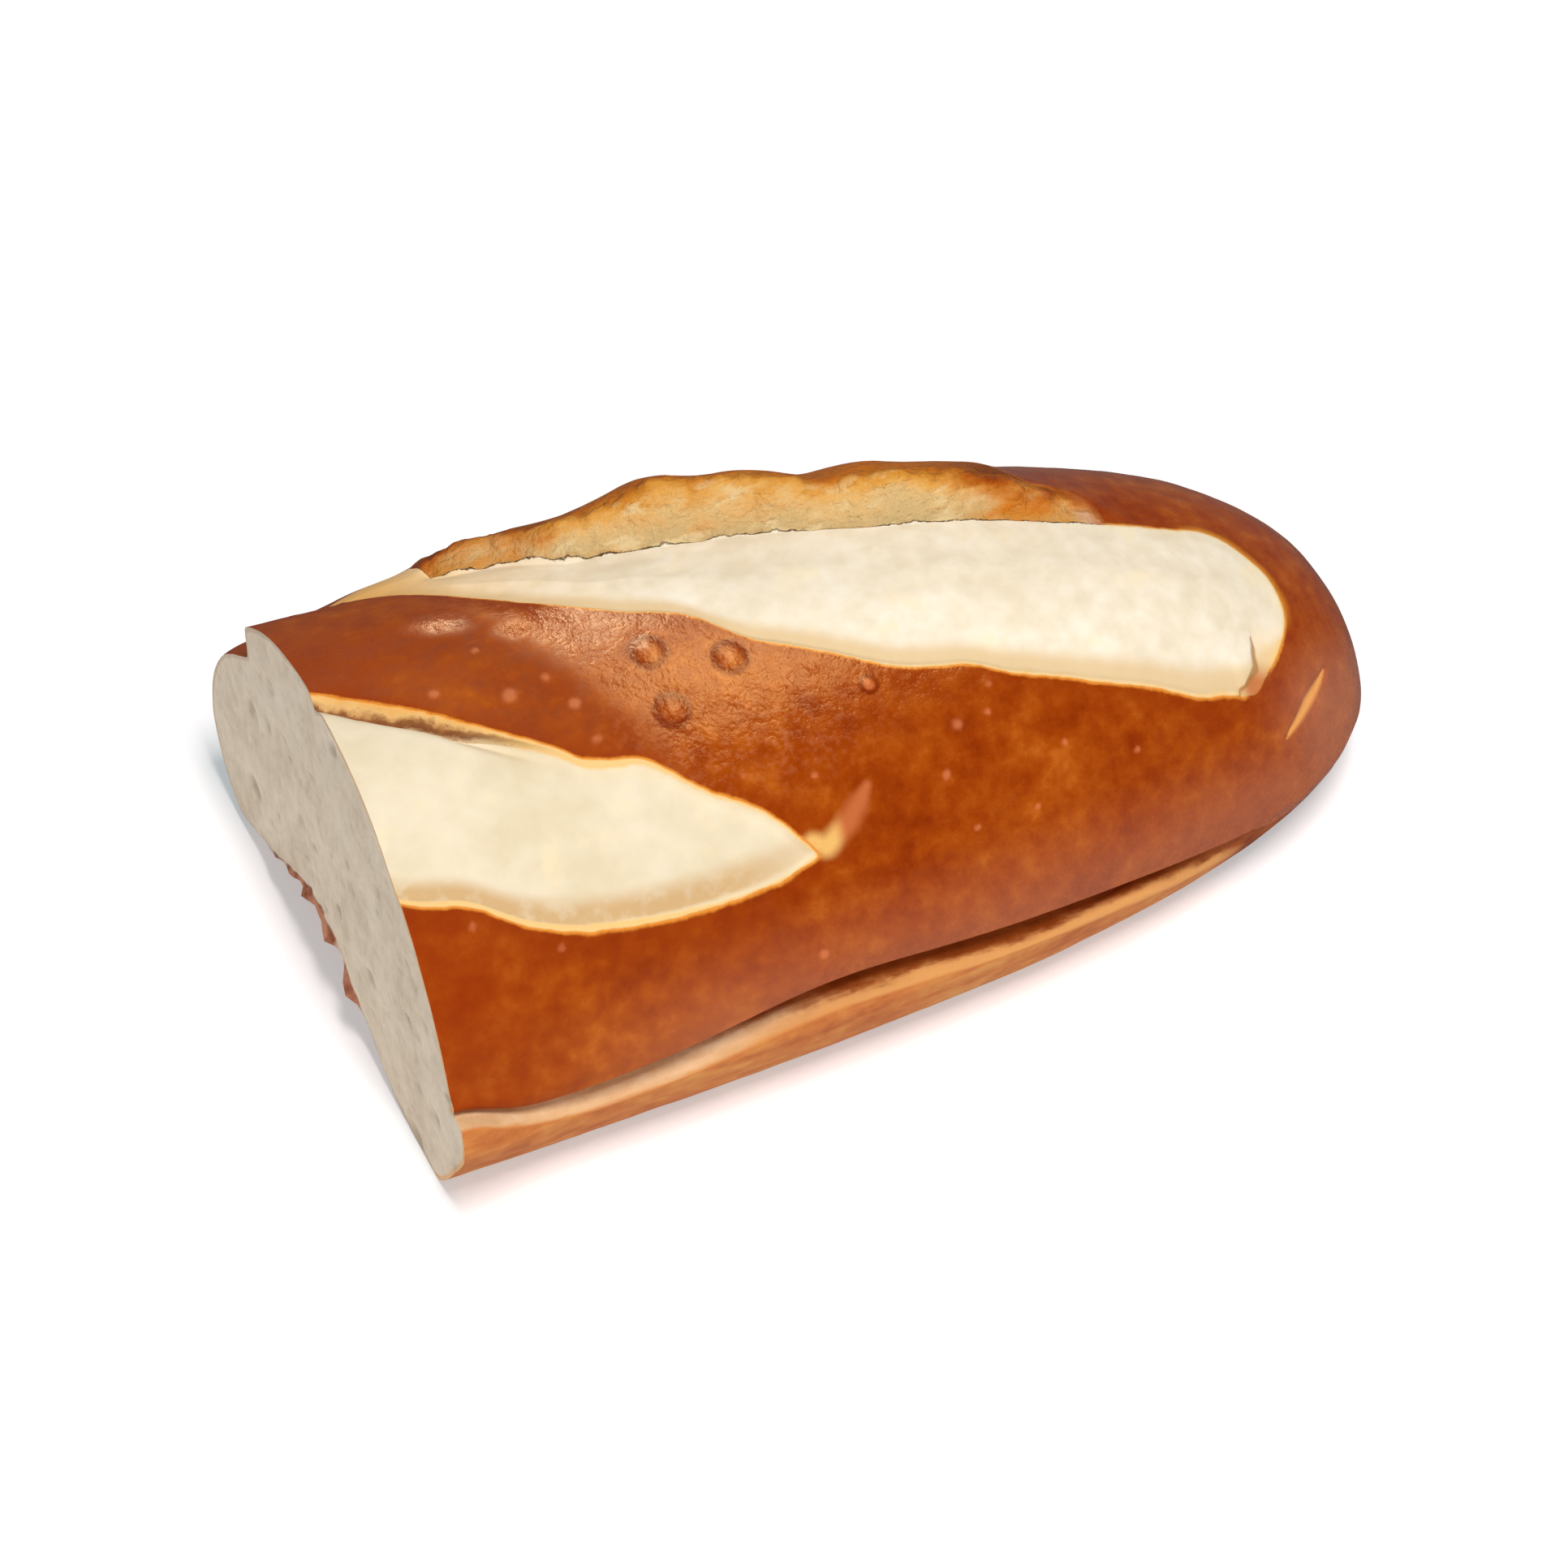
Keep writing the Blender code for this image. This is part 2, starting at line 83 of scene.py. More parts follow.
CREASE_HEIGHT = 0.0150
CREASE_LIFT, CREASE_LIFT_X, CREASE_LIFT_REACH = 0.0024, 0.046, 0.017
CREASE_DROP, CREASE_DROP_FROM, CREASE_DROP_SPAN, CREASE_END = 0.0050, 0.060, 0.045, (0.088, 0.106)
CREASE_CUT_RISE, CREASE_CUT_REACH, CREASE_CUT_SHARE, CREASE_DEEPEN = 0.0024, 0.006, 0.3, 0.025
LEDGE_AT_CUT, LEDGE, LEDGE_WIDEN = 0.0014, 0.0042, 0.021
CREASE_DEPTH, CREASE_LIP = 0.0034, 0.0005
LIP_AT, LIP_SPREAD, LEAST_LEDGE_TURN, GROOVE_STEEP = -0.4, 0.5, 0.02, 0.25
FOOT_SWELL, FOOT_SWELL_REACH, FOOT_SWELL_FROM, FOOT_SWELL_FALL = 0.0022, 0.008, 0.35, 0.35

BASE_ARCH, BASE_ARCH_REACH, BASE_ARCH_Y = 0.0110, 0.018, 0.004
ARCH_NEAR, ARCH_FAR = (0.016, 3.0), (0.0195, 2.0)
BASE_STARTS, BASE_ENDS = (2.45, 2.55), (3.45, 3.55)  # turns
CRAG_HANG, CRAG_REACH = 0.35, 0.0012
# Torn bits of bottom crust that stand out of the cut's lower edge: y, width and size
CRAGS = (
    (17.0, 3.0, 0.6), (11.0, 2.5, 1.1), (6.5, 1.4, 1.6), (3.0, 1.4, 1.1), (-0.5, 1.7, 1.2),
    (-6.8, 2.0, 1.4),
)
CRAG_ROUGH = (0.9, 0.5, 0.3)  # share of each bit that is plain, and shares of the two noises

# ---------------------------------------------------------------- relief that only the looks have
# Sizes and seeds of the noises that the reliefs share
COARSE, MEDIUM, FINE, FRAY = (0.0090, 21), (0.0032, 31), (0.0013, 41), (0.0011, 15)
LUMP, LOW_LUMP, RIPPLE = 0.00016, 0.000096, 0.00006  # swell of the baked skin, on top and low, and ripple
SKIN_BY_SCORE, SKIN_BY_LIP = (-0.0006, 0.0), (-0.2, 0.0)  # where the skin's relief ends
LOW_START, LOW_END, MARKS_END = (2.0, 2.1), (2.45, 2.5), 2.0  # turns
CRUMBLE, FLAKE, CRUMB_SWELL = 0.0009, 0.00045, 0.00045  # crumbs of the torn wall
FLOOR_SWELL, FLOOR_PUCKER, SWELL_IN = 0.00035, 0.00010, 0.002
RAGGED, FRAYED = 0.00035, 0.00008  # wander of the scores' edges

# Knocks in the scores' edges: place along the loaf, width and size; steps: start, end and size
NEAR_KNOCKS = (
    (41.5, 4.0, 1.0), (14.0, 7.0, 1.6), (71.0, 3.5, 0.6), (62.0, 5.0, -0.5), (98.0, 4.0, -0.6),
    (80.0, 10.0, 0.5),
)
NEAR_STEPS, FAR_STEPS = ((49.0, 43.0, 1.6),), ((34.0, 27.0, 1.5), (83.0, 92.0, -0.7))
FAR_KNOCKS = ((35.0, 3.0, -1.0), (53.0, 11.0, 0.5))
SHORT_FAR_KNOCKS = ((9.0, 5.0, 0.5), (31.5, 3.5, 1.4), (24.5, 2.0, -0.5))
SHORT_FAR_STEPS = ((50.0, 40.0, 1.0), (42.0, 50.0, -1.5))
SHORT_NEAR_KNOCKS = ((7.0, 4.0, 1.0), (32.0, 10.0, 0.35))
SHORT_NEAR_STEPS, SHORT_NEAR_SHIFT = ((42.0, 50.0, 0.1),), 0.0003
KNOCKS_FROM = (0.004, 0.012)  # the long score's edges don't wander at the cut
NEAR_RAGS, FAR_RAGS, SHORT_FAR_RAGS, SHORT_NEAR_RAGS = (0.006, 11), (0.007, 12), (0.005, 13), (0.006, 14)
NEAR_RAGGED, SHORT_RAGGED = 0.5 * RAGGED, 0.4 * RAGGED
# Outline of the long score's cap: angle from +Y towards +X in degrees, distance from its centre
CAP_OUTLINE = (
    (0.0, 8.9), (17.0, 9.35), (30.0, 9.45), (41.0, 9.3), (53.0, 9.0), (66.0, 9.5), (76.0, 9.55),
    (87.0, 9.3), (100.0, 9.1), (114.0, 8.5), (131.0, 7.95), (154.0, 8.15), (169.0, 9.2), (180.0, 9.3),
)
CAP_BLUR = (-8.0, -4.0, 0.0, 4.0, 8.0)
CAP_SHADE_SHIFT, CAP_SHADE_REACH = 0.004, 0.008  # the near edge's shade leaves the cap's far half

FAR_LIP_WIDTH = 0.0060
TEAR_WANDER, TEAR_WANDER_REACH = 0.0012, 0.003
TORN_CREST, TORN_RIM = (0.0004, 0.0012), 0.006
WALL_FOOT, WALL_TOP = (-0.05, 0.12), (1.15, 1.7)  # where the crumbs start and end, as shares of EAR_RUN
WALL_COLOUR_END, WALL_COLOUR_MORE, WALL_COLOUR_FADE = 1.35, 1.25, (0.081, 0.090)
CREVICE_DEPTH, CREVICE_AT, CREVICE_WIDTH, CREVICE_FADE = 0.0018, 0.0015, 0.0010, (0.6, 1.2)
CREVICE_AT_CUT, CREVICE_DEEPEN, CREVICE_ROUGH = 0.7, 0.004, 0.6
BAND_NARROWS, BAND_NARROWS_OVER = 0.75, (0.002, 0.022)
SHORT_RIM_NEAR, SHORT_RIM_FAR, SHORT_OVERRUN, OUTSIDE = 1.7, 0.009, 0.002, -0.010

# Blisters of the crust: plan x and y, radius, height
BLISTERS = (
    (36.6, -7.1, 2.1, 0.22), (45.0, -10.5, 2.0, 0.21), (36.3, -14.5, 2.0, 0.18), (58.8, -17.2, 1.1, 0.08),
)
MOAT, MOAT_AT, MOAT_WIDTH, BLISTER_WANDER = 0.15, 1.15, 0.25, 0.12  # shares of height and radius
# Long swellings of the crust: plan x and y, half length, half width, height
SWELLS = ((16.4, 7.6, 5.4, 3.1, 0.60), (24.8, 3.1, 3.6, 2.8, 0.42))
SWELL_TURN = (0.911, -0.412)  # direction of their long axis in plan
# Glossy spots on them: plan x and y, half length, half width
GLOSS_SPOTS = ((16.9, 5.5, 4.2, 2.1), (24.4, 1.2, 3.2, 2.1))
SPOT_EDGE, SPOT_WANDER = (0.35, 1.3), 0.35
GLOSS_FROM, GLOSS_SLANT, GLOSS_Y, GLOSS_WANDER = (0.0195, 0.0255), 0.5, 0.0035, 0.0020
# Pale specks of the crust: plan x and y, radius
SPECKS = (
    (20.1, -7.4, 0.85), (26.4, -10.7, 0.70), (24.6, -6.4, 0.60), (27.0, -15.2, 0.75), (12.3, -4.1, 0.60),
    (18.9, 0.1, 0.45), (58.8, -17.2, 0.70), (67.4, -22.5, 0.80), (64.4, -26.1, 0.60), (72.5, -19.5, 0.40),
    (71.3, -21.9, 0.45), (79.4, -25.1, 0.40), (49.2, -23.9, 0.40), (41.4, -22.4, 0.45), (66.5, -29.9, 0.40),
    (74.3, -29.1, 0.40), (45.3, -34.9, 0.50), (15.9, -30.7, 0.45), (6.9, -27.4, 0.45), (88.1, -26.0, 0.45),
)
SPECK_HEIGHT, SPECK_WANDER = 0.00008, 0.6
PIMPLES, PIMPLE_HEIGHT, PIMPLE_REACH = 0.16, 0.000147, 0.14  # share of places, height, reach in spacings
PIMPLE_DOTS = (0.0030, 51)  # spacing and seed
# Crack of the round end, flare beyond the short score's tip and fold of the cap's floor: plan x and y of
# points along each, half width there
CRACK = (
    (116.9, -17.2, 0.20), (115.7, -18.5, 0.60), (114.4, -19.6, 0.90), (112.9, -20.8, 1.00),
    (111.4, -22.0, 0.80), (110.0, -23.0, 0.50), (108.7, -23.9, 0.18),
)
FLARE = (
    (46.9, -28.6, 1.00), (48.4, -29.1, 1.20), (49.8, -28.6, 1.20), (51.4, -27.9, 1.30), (53.0, -26.9, 1.15),
    (54.8, -25.6, 0.60),
)
FOLD = (
    (107.4, -16.6, 0.10), (107.3, -17.4, 0.18), (107.0, -18.3, 0.22), (106.8, -19.3, 0.22),
    (105.9, -20.0, 0.16), (104.8, -20.8, 0.10), (103.2, -21.9, 0.06),
)
CRACK_DEPTH, CRACK_WANDER, FLARE_WANDER = 0.0005, 0.15, 0.3
FOLD_DEPTH, FOLD_SPREAD, FLAP_DROP, FLAP_SPREAD, FLAP_EDGE = 0.00035, 1.2, 0.0004, (0.5, 2.0), 0.0003
FLAP_X, FLAP_Y = (0.1015, 0.1025), (-0.0145, -0.0180)  # where the flap beside the fold starts and is full
CORNER_X, CORNER_Y = (0.1030, 0.1055), (-0.0182, -0.0206)  # the same for its browned corner
GOLDEN_X, GOLDEN_Y = (0.103, 0.107), (-0.016, -0.012)
# How deeply the torn wall is baked: place along the loaf and share
BAKE = (
    (19.0, 0.90), (24.0, 0.80), (30.0, 0.75), (36.0, 0.55), (41.0, 0.45), (50.0, 0.50), (58.0, 0.45),
    (62.0, 0.50), (65.0, 0.25), (70.0, 0.15), (74.0, 0.35), (78.0, 0.60), (84.0, 0.75), (90.0, 0.80),
)

# Pores of the crumb: spacing in sizes, depth and reach; size and share of places of each kind
PORE_SPACING, PORE_DEPTH, PORE_REACH = 2.6, 0.30, 0.26
PORES = ((0.0018, 0.35), (0.0012, 0.5), (0.0008, 0.5))
PORE_STRETCH, PORE_WANDER, PORE_WANDER_NOISE, PORE_SEED = (1.0, 0.66, 1.0), 0.0005, (0.0015, 60), 61
CRUMB_ROUGH, CRUMB_ROUGH_NOISE = 0.00008, (0.0016, 71)

# ---------------------------------------------------------------- grids
ALONG = 330
SKIN_AROUND, FOOT_AROUND, CRUMB_RINGS = 300, 108, 104
NOSE_POWER, NOSE_CROWD, HELD_FROM, LEAST_FLOOR = 2.3, 0.12, 0.9, 0.002
# Columns of the skin: from the far corner of the base over the far side, the ear's back, its crest, the
# wall's foot, the score's near edge and the side, to the crease's lip and into its groove
SKIN_STOPS = (0.0, 0.05, 0.12, 0.19, 0.33, 0.545, 0.955, 1.0)
SKIN_START, BACK_COLUMN, CREST_COLUMN, FOOT_COLUMN, LIP_COLUMN = (-0.5, 0.02), 2.6, 1.15, 0.0004, 0.01
FOOT_STOPS = (0.0, 0.24, 0.56, 1.0)
CRUMB_CROWD, CRUMB_EDGE_FALL, CRUMB_RIM = 1.15, 12, 0.0012
NORMAL_STEP, MOST_ACROSS, TINY, FAR_AWAY = 1e-4, 0.995, 1e-9, 99.0


def hump(value, centre, width):
    """Bell curve, 1 at its centre."""
    return np.exp(-(((value - centre) / width) ** 2))


def ramp(value, low, high):
    """Smooth step, 0 up to low and 1 from high on."""
    share = np.clip((value - low) / (high - low), 0.0, 1.0)
    return share * share * (3.0 - 2.0 * share)


def knocks(value, table):
    """Sum of bell curves given as place, width and size in millimetres."""
    return MM * sum(size * hump(value, place * MM, width * MM) for place, width, size in table)


def steps(value, table):
    """Sum of smooth steps given as start, end and size in millimetres."""
    return MM * sum(size * ramp(value, start * MM, end * MM) for start, end, size in table)


def lattice_noise(points, size, seed):
    """Smooth noise from -1 to 1: random values on a lattice of cubes, blended by smooth steps."""
    count = 32
    values = np.random.default_rng(seed).uniform(-1.0, 1.0, (count, count, count))
    place = np.asarray(points) / size
    corner = np.floor(place).astype(int)
    share = place - corner
    share = share * share * (3.0 - 2.0 * share)
    total = 0.0
    for step in np.ndindex(2, 2, 2):
        at = (corner + step) % count
        weight = np.where(np.array(step) == 1, share, 1.0 - share).prod(axis=-1)
        total = total + weight * values[at[..., 0], at[..., 1], at[..., 2]]
    return total


def layered_noise(points, size, seed, layers=3):
    """Sum of lattice noises, each half the size and half the strength of the one before."""
    parts = [lattice_noise(points, size / 2**n, seed + n) / 2**n for n in range(layers)]
    return sum(parts) / (2.0 - 0.5 ** (layers - 1))


def line_noise(x, size, seed):
    """Layered noise along a line."""
    return layered_noise(np.stack([x, 0 * x, 0 * x], axis=-1), size, seed)


def nearest_dots(points, size, seed, kept):
    """Distance to the nearest of scattered dots, one in each lattice cube that keeps its dot, in sizes."""
    count = 16
    random = np.random.default_rng(seed)
    offset = random.uniform(0.15, 0.85, (count, count, count, 3))
    missing = random.uniform(0.0, 1.0, (count, count, count)) > kept
    place = np.asarray(points) / size
    corner = np.floor(place).astype(int)
    nearest = np.full(place.shape[:-1], FAR_AWAY)
    for step in np.ndindex(3, 3, 3):
        cell = corner + step - 1
        at = cell % count
        key = (at[..., 0], at[..., 1], at[..., 2])
        away = np.linalg.norm(cell + offset[key] - place, axis=-1) + FAR_AWAY * missing[key]
        nearest = np.minimum(nearest, away)
    return nearest


def beside_line(points, line):
    """Distance to a line through given points, and the side of it in plan, positive to the right.

    The last number of each given point is the line's half width, which the distance is given in.
    """
    nearest, side = np.full(points.shape[:-1], FAR_AWAY), np.zeros(points.shape[:-1])
    line = np.array(line) * MM
    for start, end in zip(line[:-1], line[1:]):
        way = end[:-1] - start[:-1]
        share = np.clip(((points - start[:-1]) @ way) / (way @ way), 0.0, 1.0)
        away = points - start[:-1] - share[..., None] * way
        shares = np.linalg.norm(away, axis=-1) / (start[-1] + (end[-1] - start[-1]) * share)
        closer = shares < nearest
        side = np.where(closer, np.sign(away[..., 0] * way[1] - away[..., 1] * way[0]), side)
        nearest = np.where(closer, shares, nearest)
    return nearest, side


def oval(x, y, plan_x, plan_y, length, width):
    """Distance in plan from the middle of an oval that lies along SWELL_TURN, in half sizes of the oval."""
    east, north = x / MM - plan_x, y / MM - plan_y
    lengthwise = (east * SWELL_TURN[0] + north * SWELL_TURN[1]) / length
    return np.hypot(lengthwise, (east * SWELL_TURN[1] - north * SWELL_TURN[0]) / width)


# ---------------------------------------------------------------- the smooth loaf
def taper(u, powers):
    """(1 - u^along)^(1 / across)."""
    along, across = powers
    return np.maximum(1.0 - u**along, 0.0) ** (1.0 / across)


def near_width(u):
    """Half width of the smooth loaf on the -Y side."""
    return NEAR_HALF * taper(u, NEAR_TAPER)


def far_width(u):
    """Half width of the smooth loaf on the +Y side."""
    return FAR_HALF * taper(u, FAR_TAPER)


def section_heights(u):
    """Heights of the section's base, widest line and top."""
    crown = HEIGHT * (1.0 + SWELL * 4.0 * u * (1.0 - u))
    top = TIP_HEIGHT + (crown - TIP_HEIGHT) * taper(u, TOP_TAPER)
    base = np.maximum(TIP_HEIGHT - TIP_HEIGHT * taper(u, BASE_TAPER) - BASE_LEVEL, 0.0)
    return base, base + (top - base) * WIDEST, top


def smooth_loaf(u, turn):
    """Point of the loaf before its relief.

    turn runs once round the section: 0 far side, 1 top, 2 near side, 2.5 near edge and 3.5 far edge of
    the resting face. Above the widest line the section is a superellipse with one half width on each
    side; below it a quarter superellipse leads to the resting face.
    """
    turn = turn % 4.0
    base, widest, top = section_heights(u)
    near, far = near_width(u), far_width(u)
    over = np.clip(turn, 0.0, 2.0) * np.pi / 2
    across = np.cos(over)
    y_over = np.where(across > 0, far, near) * np.sign(across) * np.abs(across) ** OVER_WIDTH
    z_over = widest + (top - widest) * np.abs(np.sin(over)) ** OVER_RISE
    near_under = np.clip(turn - 2.0, 0.0, 0.5) * np.pi
    far_under = np.clip(4.0 - turn, 0.0, 0.5) * np.pi
    under = np.where(turn < 3.0, near_under, far_under)
    shrink = FLAT + (1.0 - FLAT) * np.abs(np.cos(under)) ** UNDER_WIDTH
    y_under = np.where(turn < 3.0, -near, far) * shrink
    z_under = widest - (widest - base) * np.abs(np.sin(under)) ** UNDER_DROP
    along_flat = np.clip(turn - 2.5, 0.0, 1.0)
    y_flat = FLAT * (-near + (near + far) * along_flat)
    on_flat = (turn > 2.5) & (turn < 3.5)
    y = np.where(turn <= 2.0, y_over, np.where(on_flat, y_flat, y_under))
    z = np.where(turn <= 2.0, z_over, np.where(on_flat, base, z_under))
    return np.stack([LENGTH * u + 0 * turn, y + END_BEND * u * u, z], axis=-1)


def outward(u, turn):
    """Unit normal of the smooth loaf, from central differences."""
    ahead, behind = np.minimum(u + NORMAL_STEP, 1.0), np.maximum(u - NORMAL_STEP, 0.0)
    along = smooth_loaf(ahead, turn) - smooth_loaf(behind, turn)
    around = smooth_loaf(u, turn + NORMAL_STEP) - smooth_loaf(u, turn - NORMAL_STEP)
    normal = np.cross(around, along)
    return normal / np.maximum(np.linalg.norm(normal, axis=-1, keepdims=True), TINY**2)


def turn_at(u, y):
    """The turn on the upper half where the smooth loaf lies at y."""
    y = y - END_BEND * u * u
    half = np.where(y > 0, far_width(u), near_width(u))
    share = np.clip(np.abs(y) / np.maximum(half, TINY), 0.0, MOST_ACROSS) ** (1.0 / OVER_WIDTH)
    return np.arccos(np.sign(y) * share) * 2 / np.pi


def turn_at_height(u, z):
    """The turn on the near side where the smooth loaf lies at height z."""
    base, widest, top = section_heights(u)
    above = np.clip((z - widest) / np.maximum(top - widest, TINY), 0.0, 1.0) ** (1.0 / OVER_RISE)
    below = np.clip((widest - z) / np.maximum(widest - base, TINY), 0.0, 1.0) ** (1.0 / UNDER_DROP)
    return 2.0 - np.arcsin(above) * 2 / np.pi + np.arcsin(below) / np.pi


def on_top(plan_x, plan_y):
    """Point of the smooth loaf's upper half over a place in plan, given in millimetres."""
    u = np.array(plan_x * MM / LENGTH)
    return smooth_loaf(u, turn_at(u, np.array(plan_y * MM)))


# ---------------------------------------------------------------- lines of the scores, ear and crease
def score_near_edge(x):
    """y of the long score's near edge: a parabola down to its lowest point, then level."""
    share = np.maximum(SCORE_TURN_X - x, 0.0) / SCORE_TURN_X
    return SCORE_TURN_Y + SCORE_RISE * share**2 - SCORE_CUT_DIP * hump(x, 0.0, SCORE_CUT_REACH)


def score_far_edge(x):
    """y of the far edge of the long score's floor, the foot of the torn wall."""
    sag = WALL_SAG * np.sin(np.pi * np.clip((x - WALL_SAG_FROM) / WALL_SAG_SPAN, 0.0, 1.0))
    return WALL_START + WALL_SLOPE * x - sag + WALL_HOOK * hump(x, 0.0, WALL_HOOK_REACH)


def near_edge_wander(x):
    """How far the crust's lip wanders off the long score's smooth near edge."""
    wander = knocks(x, NEAR_KNOCKS) + steps(x, NEAR_STEPS)
    return wander * ramp(x, *KNOCKS_FROM) + NEAR_RAGGED * line_noise(x, *NEAR_RAGS)


def far_edge_wander(x):
    """How far the wall's foot wanders off the long score's smooth far edge."""
    wander = knocks(x, FAR_KNOCKS) + steps(x, FAR_STEPS)
    return wander * ramp(x, *KNOCKS_FROM) + RAGGED * line_noise(x, *FAR_RAGS)


def crest_height(x):
    """Height of the ear's crest over the smooth loaf: the table's line, averaged over a short way."""
    place, height = np.array(EAR_CREST).T * MM
    shifts = np.linspace(-CREST_BLUR, CREST_BLUR, 5)
    return sum(np.interp(x + shift, place, height) for shift in shifts) / len(shifts)


def cap_outline(angle):
    """Distance of the cap's outline from its centre: the table's line, averaged over a few degrees."""
    degrees, distance = np.array(CAP_OUTLINE).T
    return MM * sum(np.interp(angle + shift, degrees, distance) for shift in CAP_BLUR) / len(CAP_BLUR)


def short_edges(x):
    """y of the short score's edges: a sagging line, and a parabola through its lowest point."""
    share = np.clip(x / SHORT_LENGTH, 0.0, 1.0)
    far_edge = SHORT_TOP + SHORT_SLOPE * x - SHORT_SAG * np.sin(np.pi * share)
    far_edge = far_edge + knocks(x, SHORT_FAR_KNOCKS) + steps(x, SHORT_FAR_STEPS)
    near_edge = SHORT_LOW_Y + SHORT_LOW_RISE * ((x - SHORT_LOW_X) / SHORT_LOW_X) ** 2
    near_edge = near_edge + SHORT_NEAR_SHIFT + knocks(x, SHORT_NEAR_KNOCKS) + steps(x, SHORT_NEAR_STEPS)
    far_edge = far_edge + SHORT_RAGGED * line_noise(x, *SHORT_FAR_RAGS)
    return far_edge, near_edge + SHORT_RAGGED * line_noise(x, *SHORT_NEAR_RAGS)


def crease_turns(u):
    """Turns of the crease's lip and of the ledge's outer edge."""
    x = LENGTH * u
    lift = CREASE_LIFT * hump(x, CREASE_LIFT_X, CREASE_LIFT_REACH)
    drop = CREASE_DROP * (np.maximum(x - CREASE_DROP_FROM, 0.0) / CREASE_DROP_SPAN) ** 2
    height = CREASE_HEIGHT + lift - drop + CREASE_CUT_RISE * hump(x, 0.0, CREASE_CUT_REACH)
    lip = turn_at_height(u, height)
    ledge = LEDGE_AT_CUT + (LEDGE - LEDGE_AT_CUT) * ramp(x, 0.0, LEDGE_WIDEN)
    return lip, np.maximum(turn_at_height(u, height - ledge), lip + LEAST_LEDGE_TURN)


# ---------------------------------------------------------------- reliefs
def sunk_floor(inside, swell, step=None):
    """Relief of a score's floor: a step down behind its lip, a crown towards its middle, and its swell."""
    step = ramp(inside, 0.0, LIP_WIDTH) if step is None else step
    crowned = FLOOR_CROWN * ramp(inside, 0.0, FLOOR_WIDTH) - FLOOR_STEP * step
    return crowned + swell * ramp(inside, 0.0, SWELL_IN)


def long_score(place, coarse, medium, fine, fray, swell):
    """Relief of the long score and ear, and the distances and masks that go with it.

    The wall rises over EAR_RUN from the floor's far edge to the crest and falls over EAR_BACK behind it.
    Crumbs of three sizes roughen it. At the cut the floor drops away behind its near edge. In the cap,
    the flap beside the fold lies lower.
    """
    x, y = place[..., 0], place[..., 1]
    slope = 2 * SCORE_RISE / SCORE_TURN_X * np.maximum(1.0 - x / SCORE_TURN_X, 0.0)
    from_near = (y - score_near_edge(x) - near_edge_wander(x)) / np.sqrt(1.0 + slope**2)
    beyond = y - score_far_edge(x) - far_edge_wander(x)
    in_cap = cap_outline(np.degrees(np.arctan2(x - CAP_X, y - CAP_Y))) - np.hypot(x - CAP_X, y - CAP_Y)
    tear_x = x + TEAR_WANDER * (coarse + medium) * ramp(beyond, 0.0, TEAR_WANDER_REACH)
    from_far = np.minimum(OVER_TOP * (1.0 - ramp(tear_x, *TEAR_START)) - beyond, FLOOR_LIMIT - y)
    inside = np.where(x > CAP_X, in_cap, np.minimum(from_near, from_far)) + fray
    crest = crest_height(x)
    torn_along = ramp(crest, *TORN_CREST) * ramp(tear_x, *TEAR_START)
    rim = np.where(x > CAP_X, in_cap, np.minimum(from_near, from_far + TORN_RIM * torn_along)) + fray

    fold, fold_side = beside_line(place[..., :2], FOLD)
    left_of_fold = (fold_side < 0) * 1.0
    flap = left_of_fold * ramp(inside, 0.0, FLAP_EDGE) * ramp(x, *FLAP_X) * ramp(y, *FLAP_Y)
    from_wall = np.where(x > CAP_X, in_cap, from_far)
    lip_step = ramp(inside, 0.0, LIP_WIDTH) * ramp(from_wall, 0.0, FAR_LIP_WIDTH)
    floor = sunk_floor(inside, swell, lip_step) - FOLD_DEPTH * hump(fold, 0.0, FOLD_SPREAD)
    floor = floor - FLAP_DROP * flap * ramp(fold, *FLAP_SPREAD)

    torn = beyond / EAR_RUN
    wall = crest * ramp(torn, 0.0, 1.0) * (1.0 - ramp(beyond, EAR_RUN, EAR_RUN + EAR_BACK))
    on_wall = torn_along * ramp(torn, *WALL_FOOT) * (1.0 - ramp(torn, *WALL_TOP))
    crumbs = on_wall * (CRUMBLE * medium + FLAKE * fine + CRUMB_SWELL * np.abs(coarse))
    fall = ramp(from_near, -FAR_DROP_ROUND, FAR_DROP_RUN)
    fall = fall * (1.0 - ramp(from_near, FAR_DROP_RUN, FAR_DROP_WIDTH))
    relief = floor + wall + crumbs - FAR_DROP * hump(x, 0.0, FAR_DROP_REACH) * fall
    cap_lower = in_cap + CAP_SHADE_SHIFT * ramp(y, CAP_Y - CAP_SHADE_REACH, CAP_Y)
    lower = np.where(x > CAP_X, cap_lower, from_near)
    masks = {
        "flap": flap,
        "corner": left_of_fold * ramp(x, *CORNER_X) * ramp(y, *CORNER_Y),
        "fold": fold,
        "bake": np.interp(x / MM, *np.array(BAKE).T),
        "wall_end": WALL_COLOUR_END + WALL_COLOUR_MORE * (1.0 - ramp(x, *WALL_COLOUR_FADE)),
        "torn": torn,
        "on_wall": torn_along,
        "golden": ramp(x, *GOLDEN_X) * ramp(y, *GOLDEN_Y),
    }
    return relief, inside, rim, lower, on_wall, masks


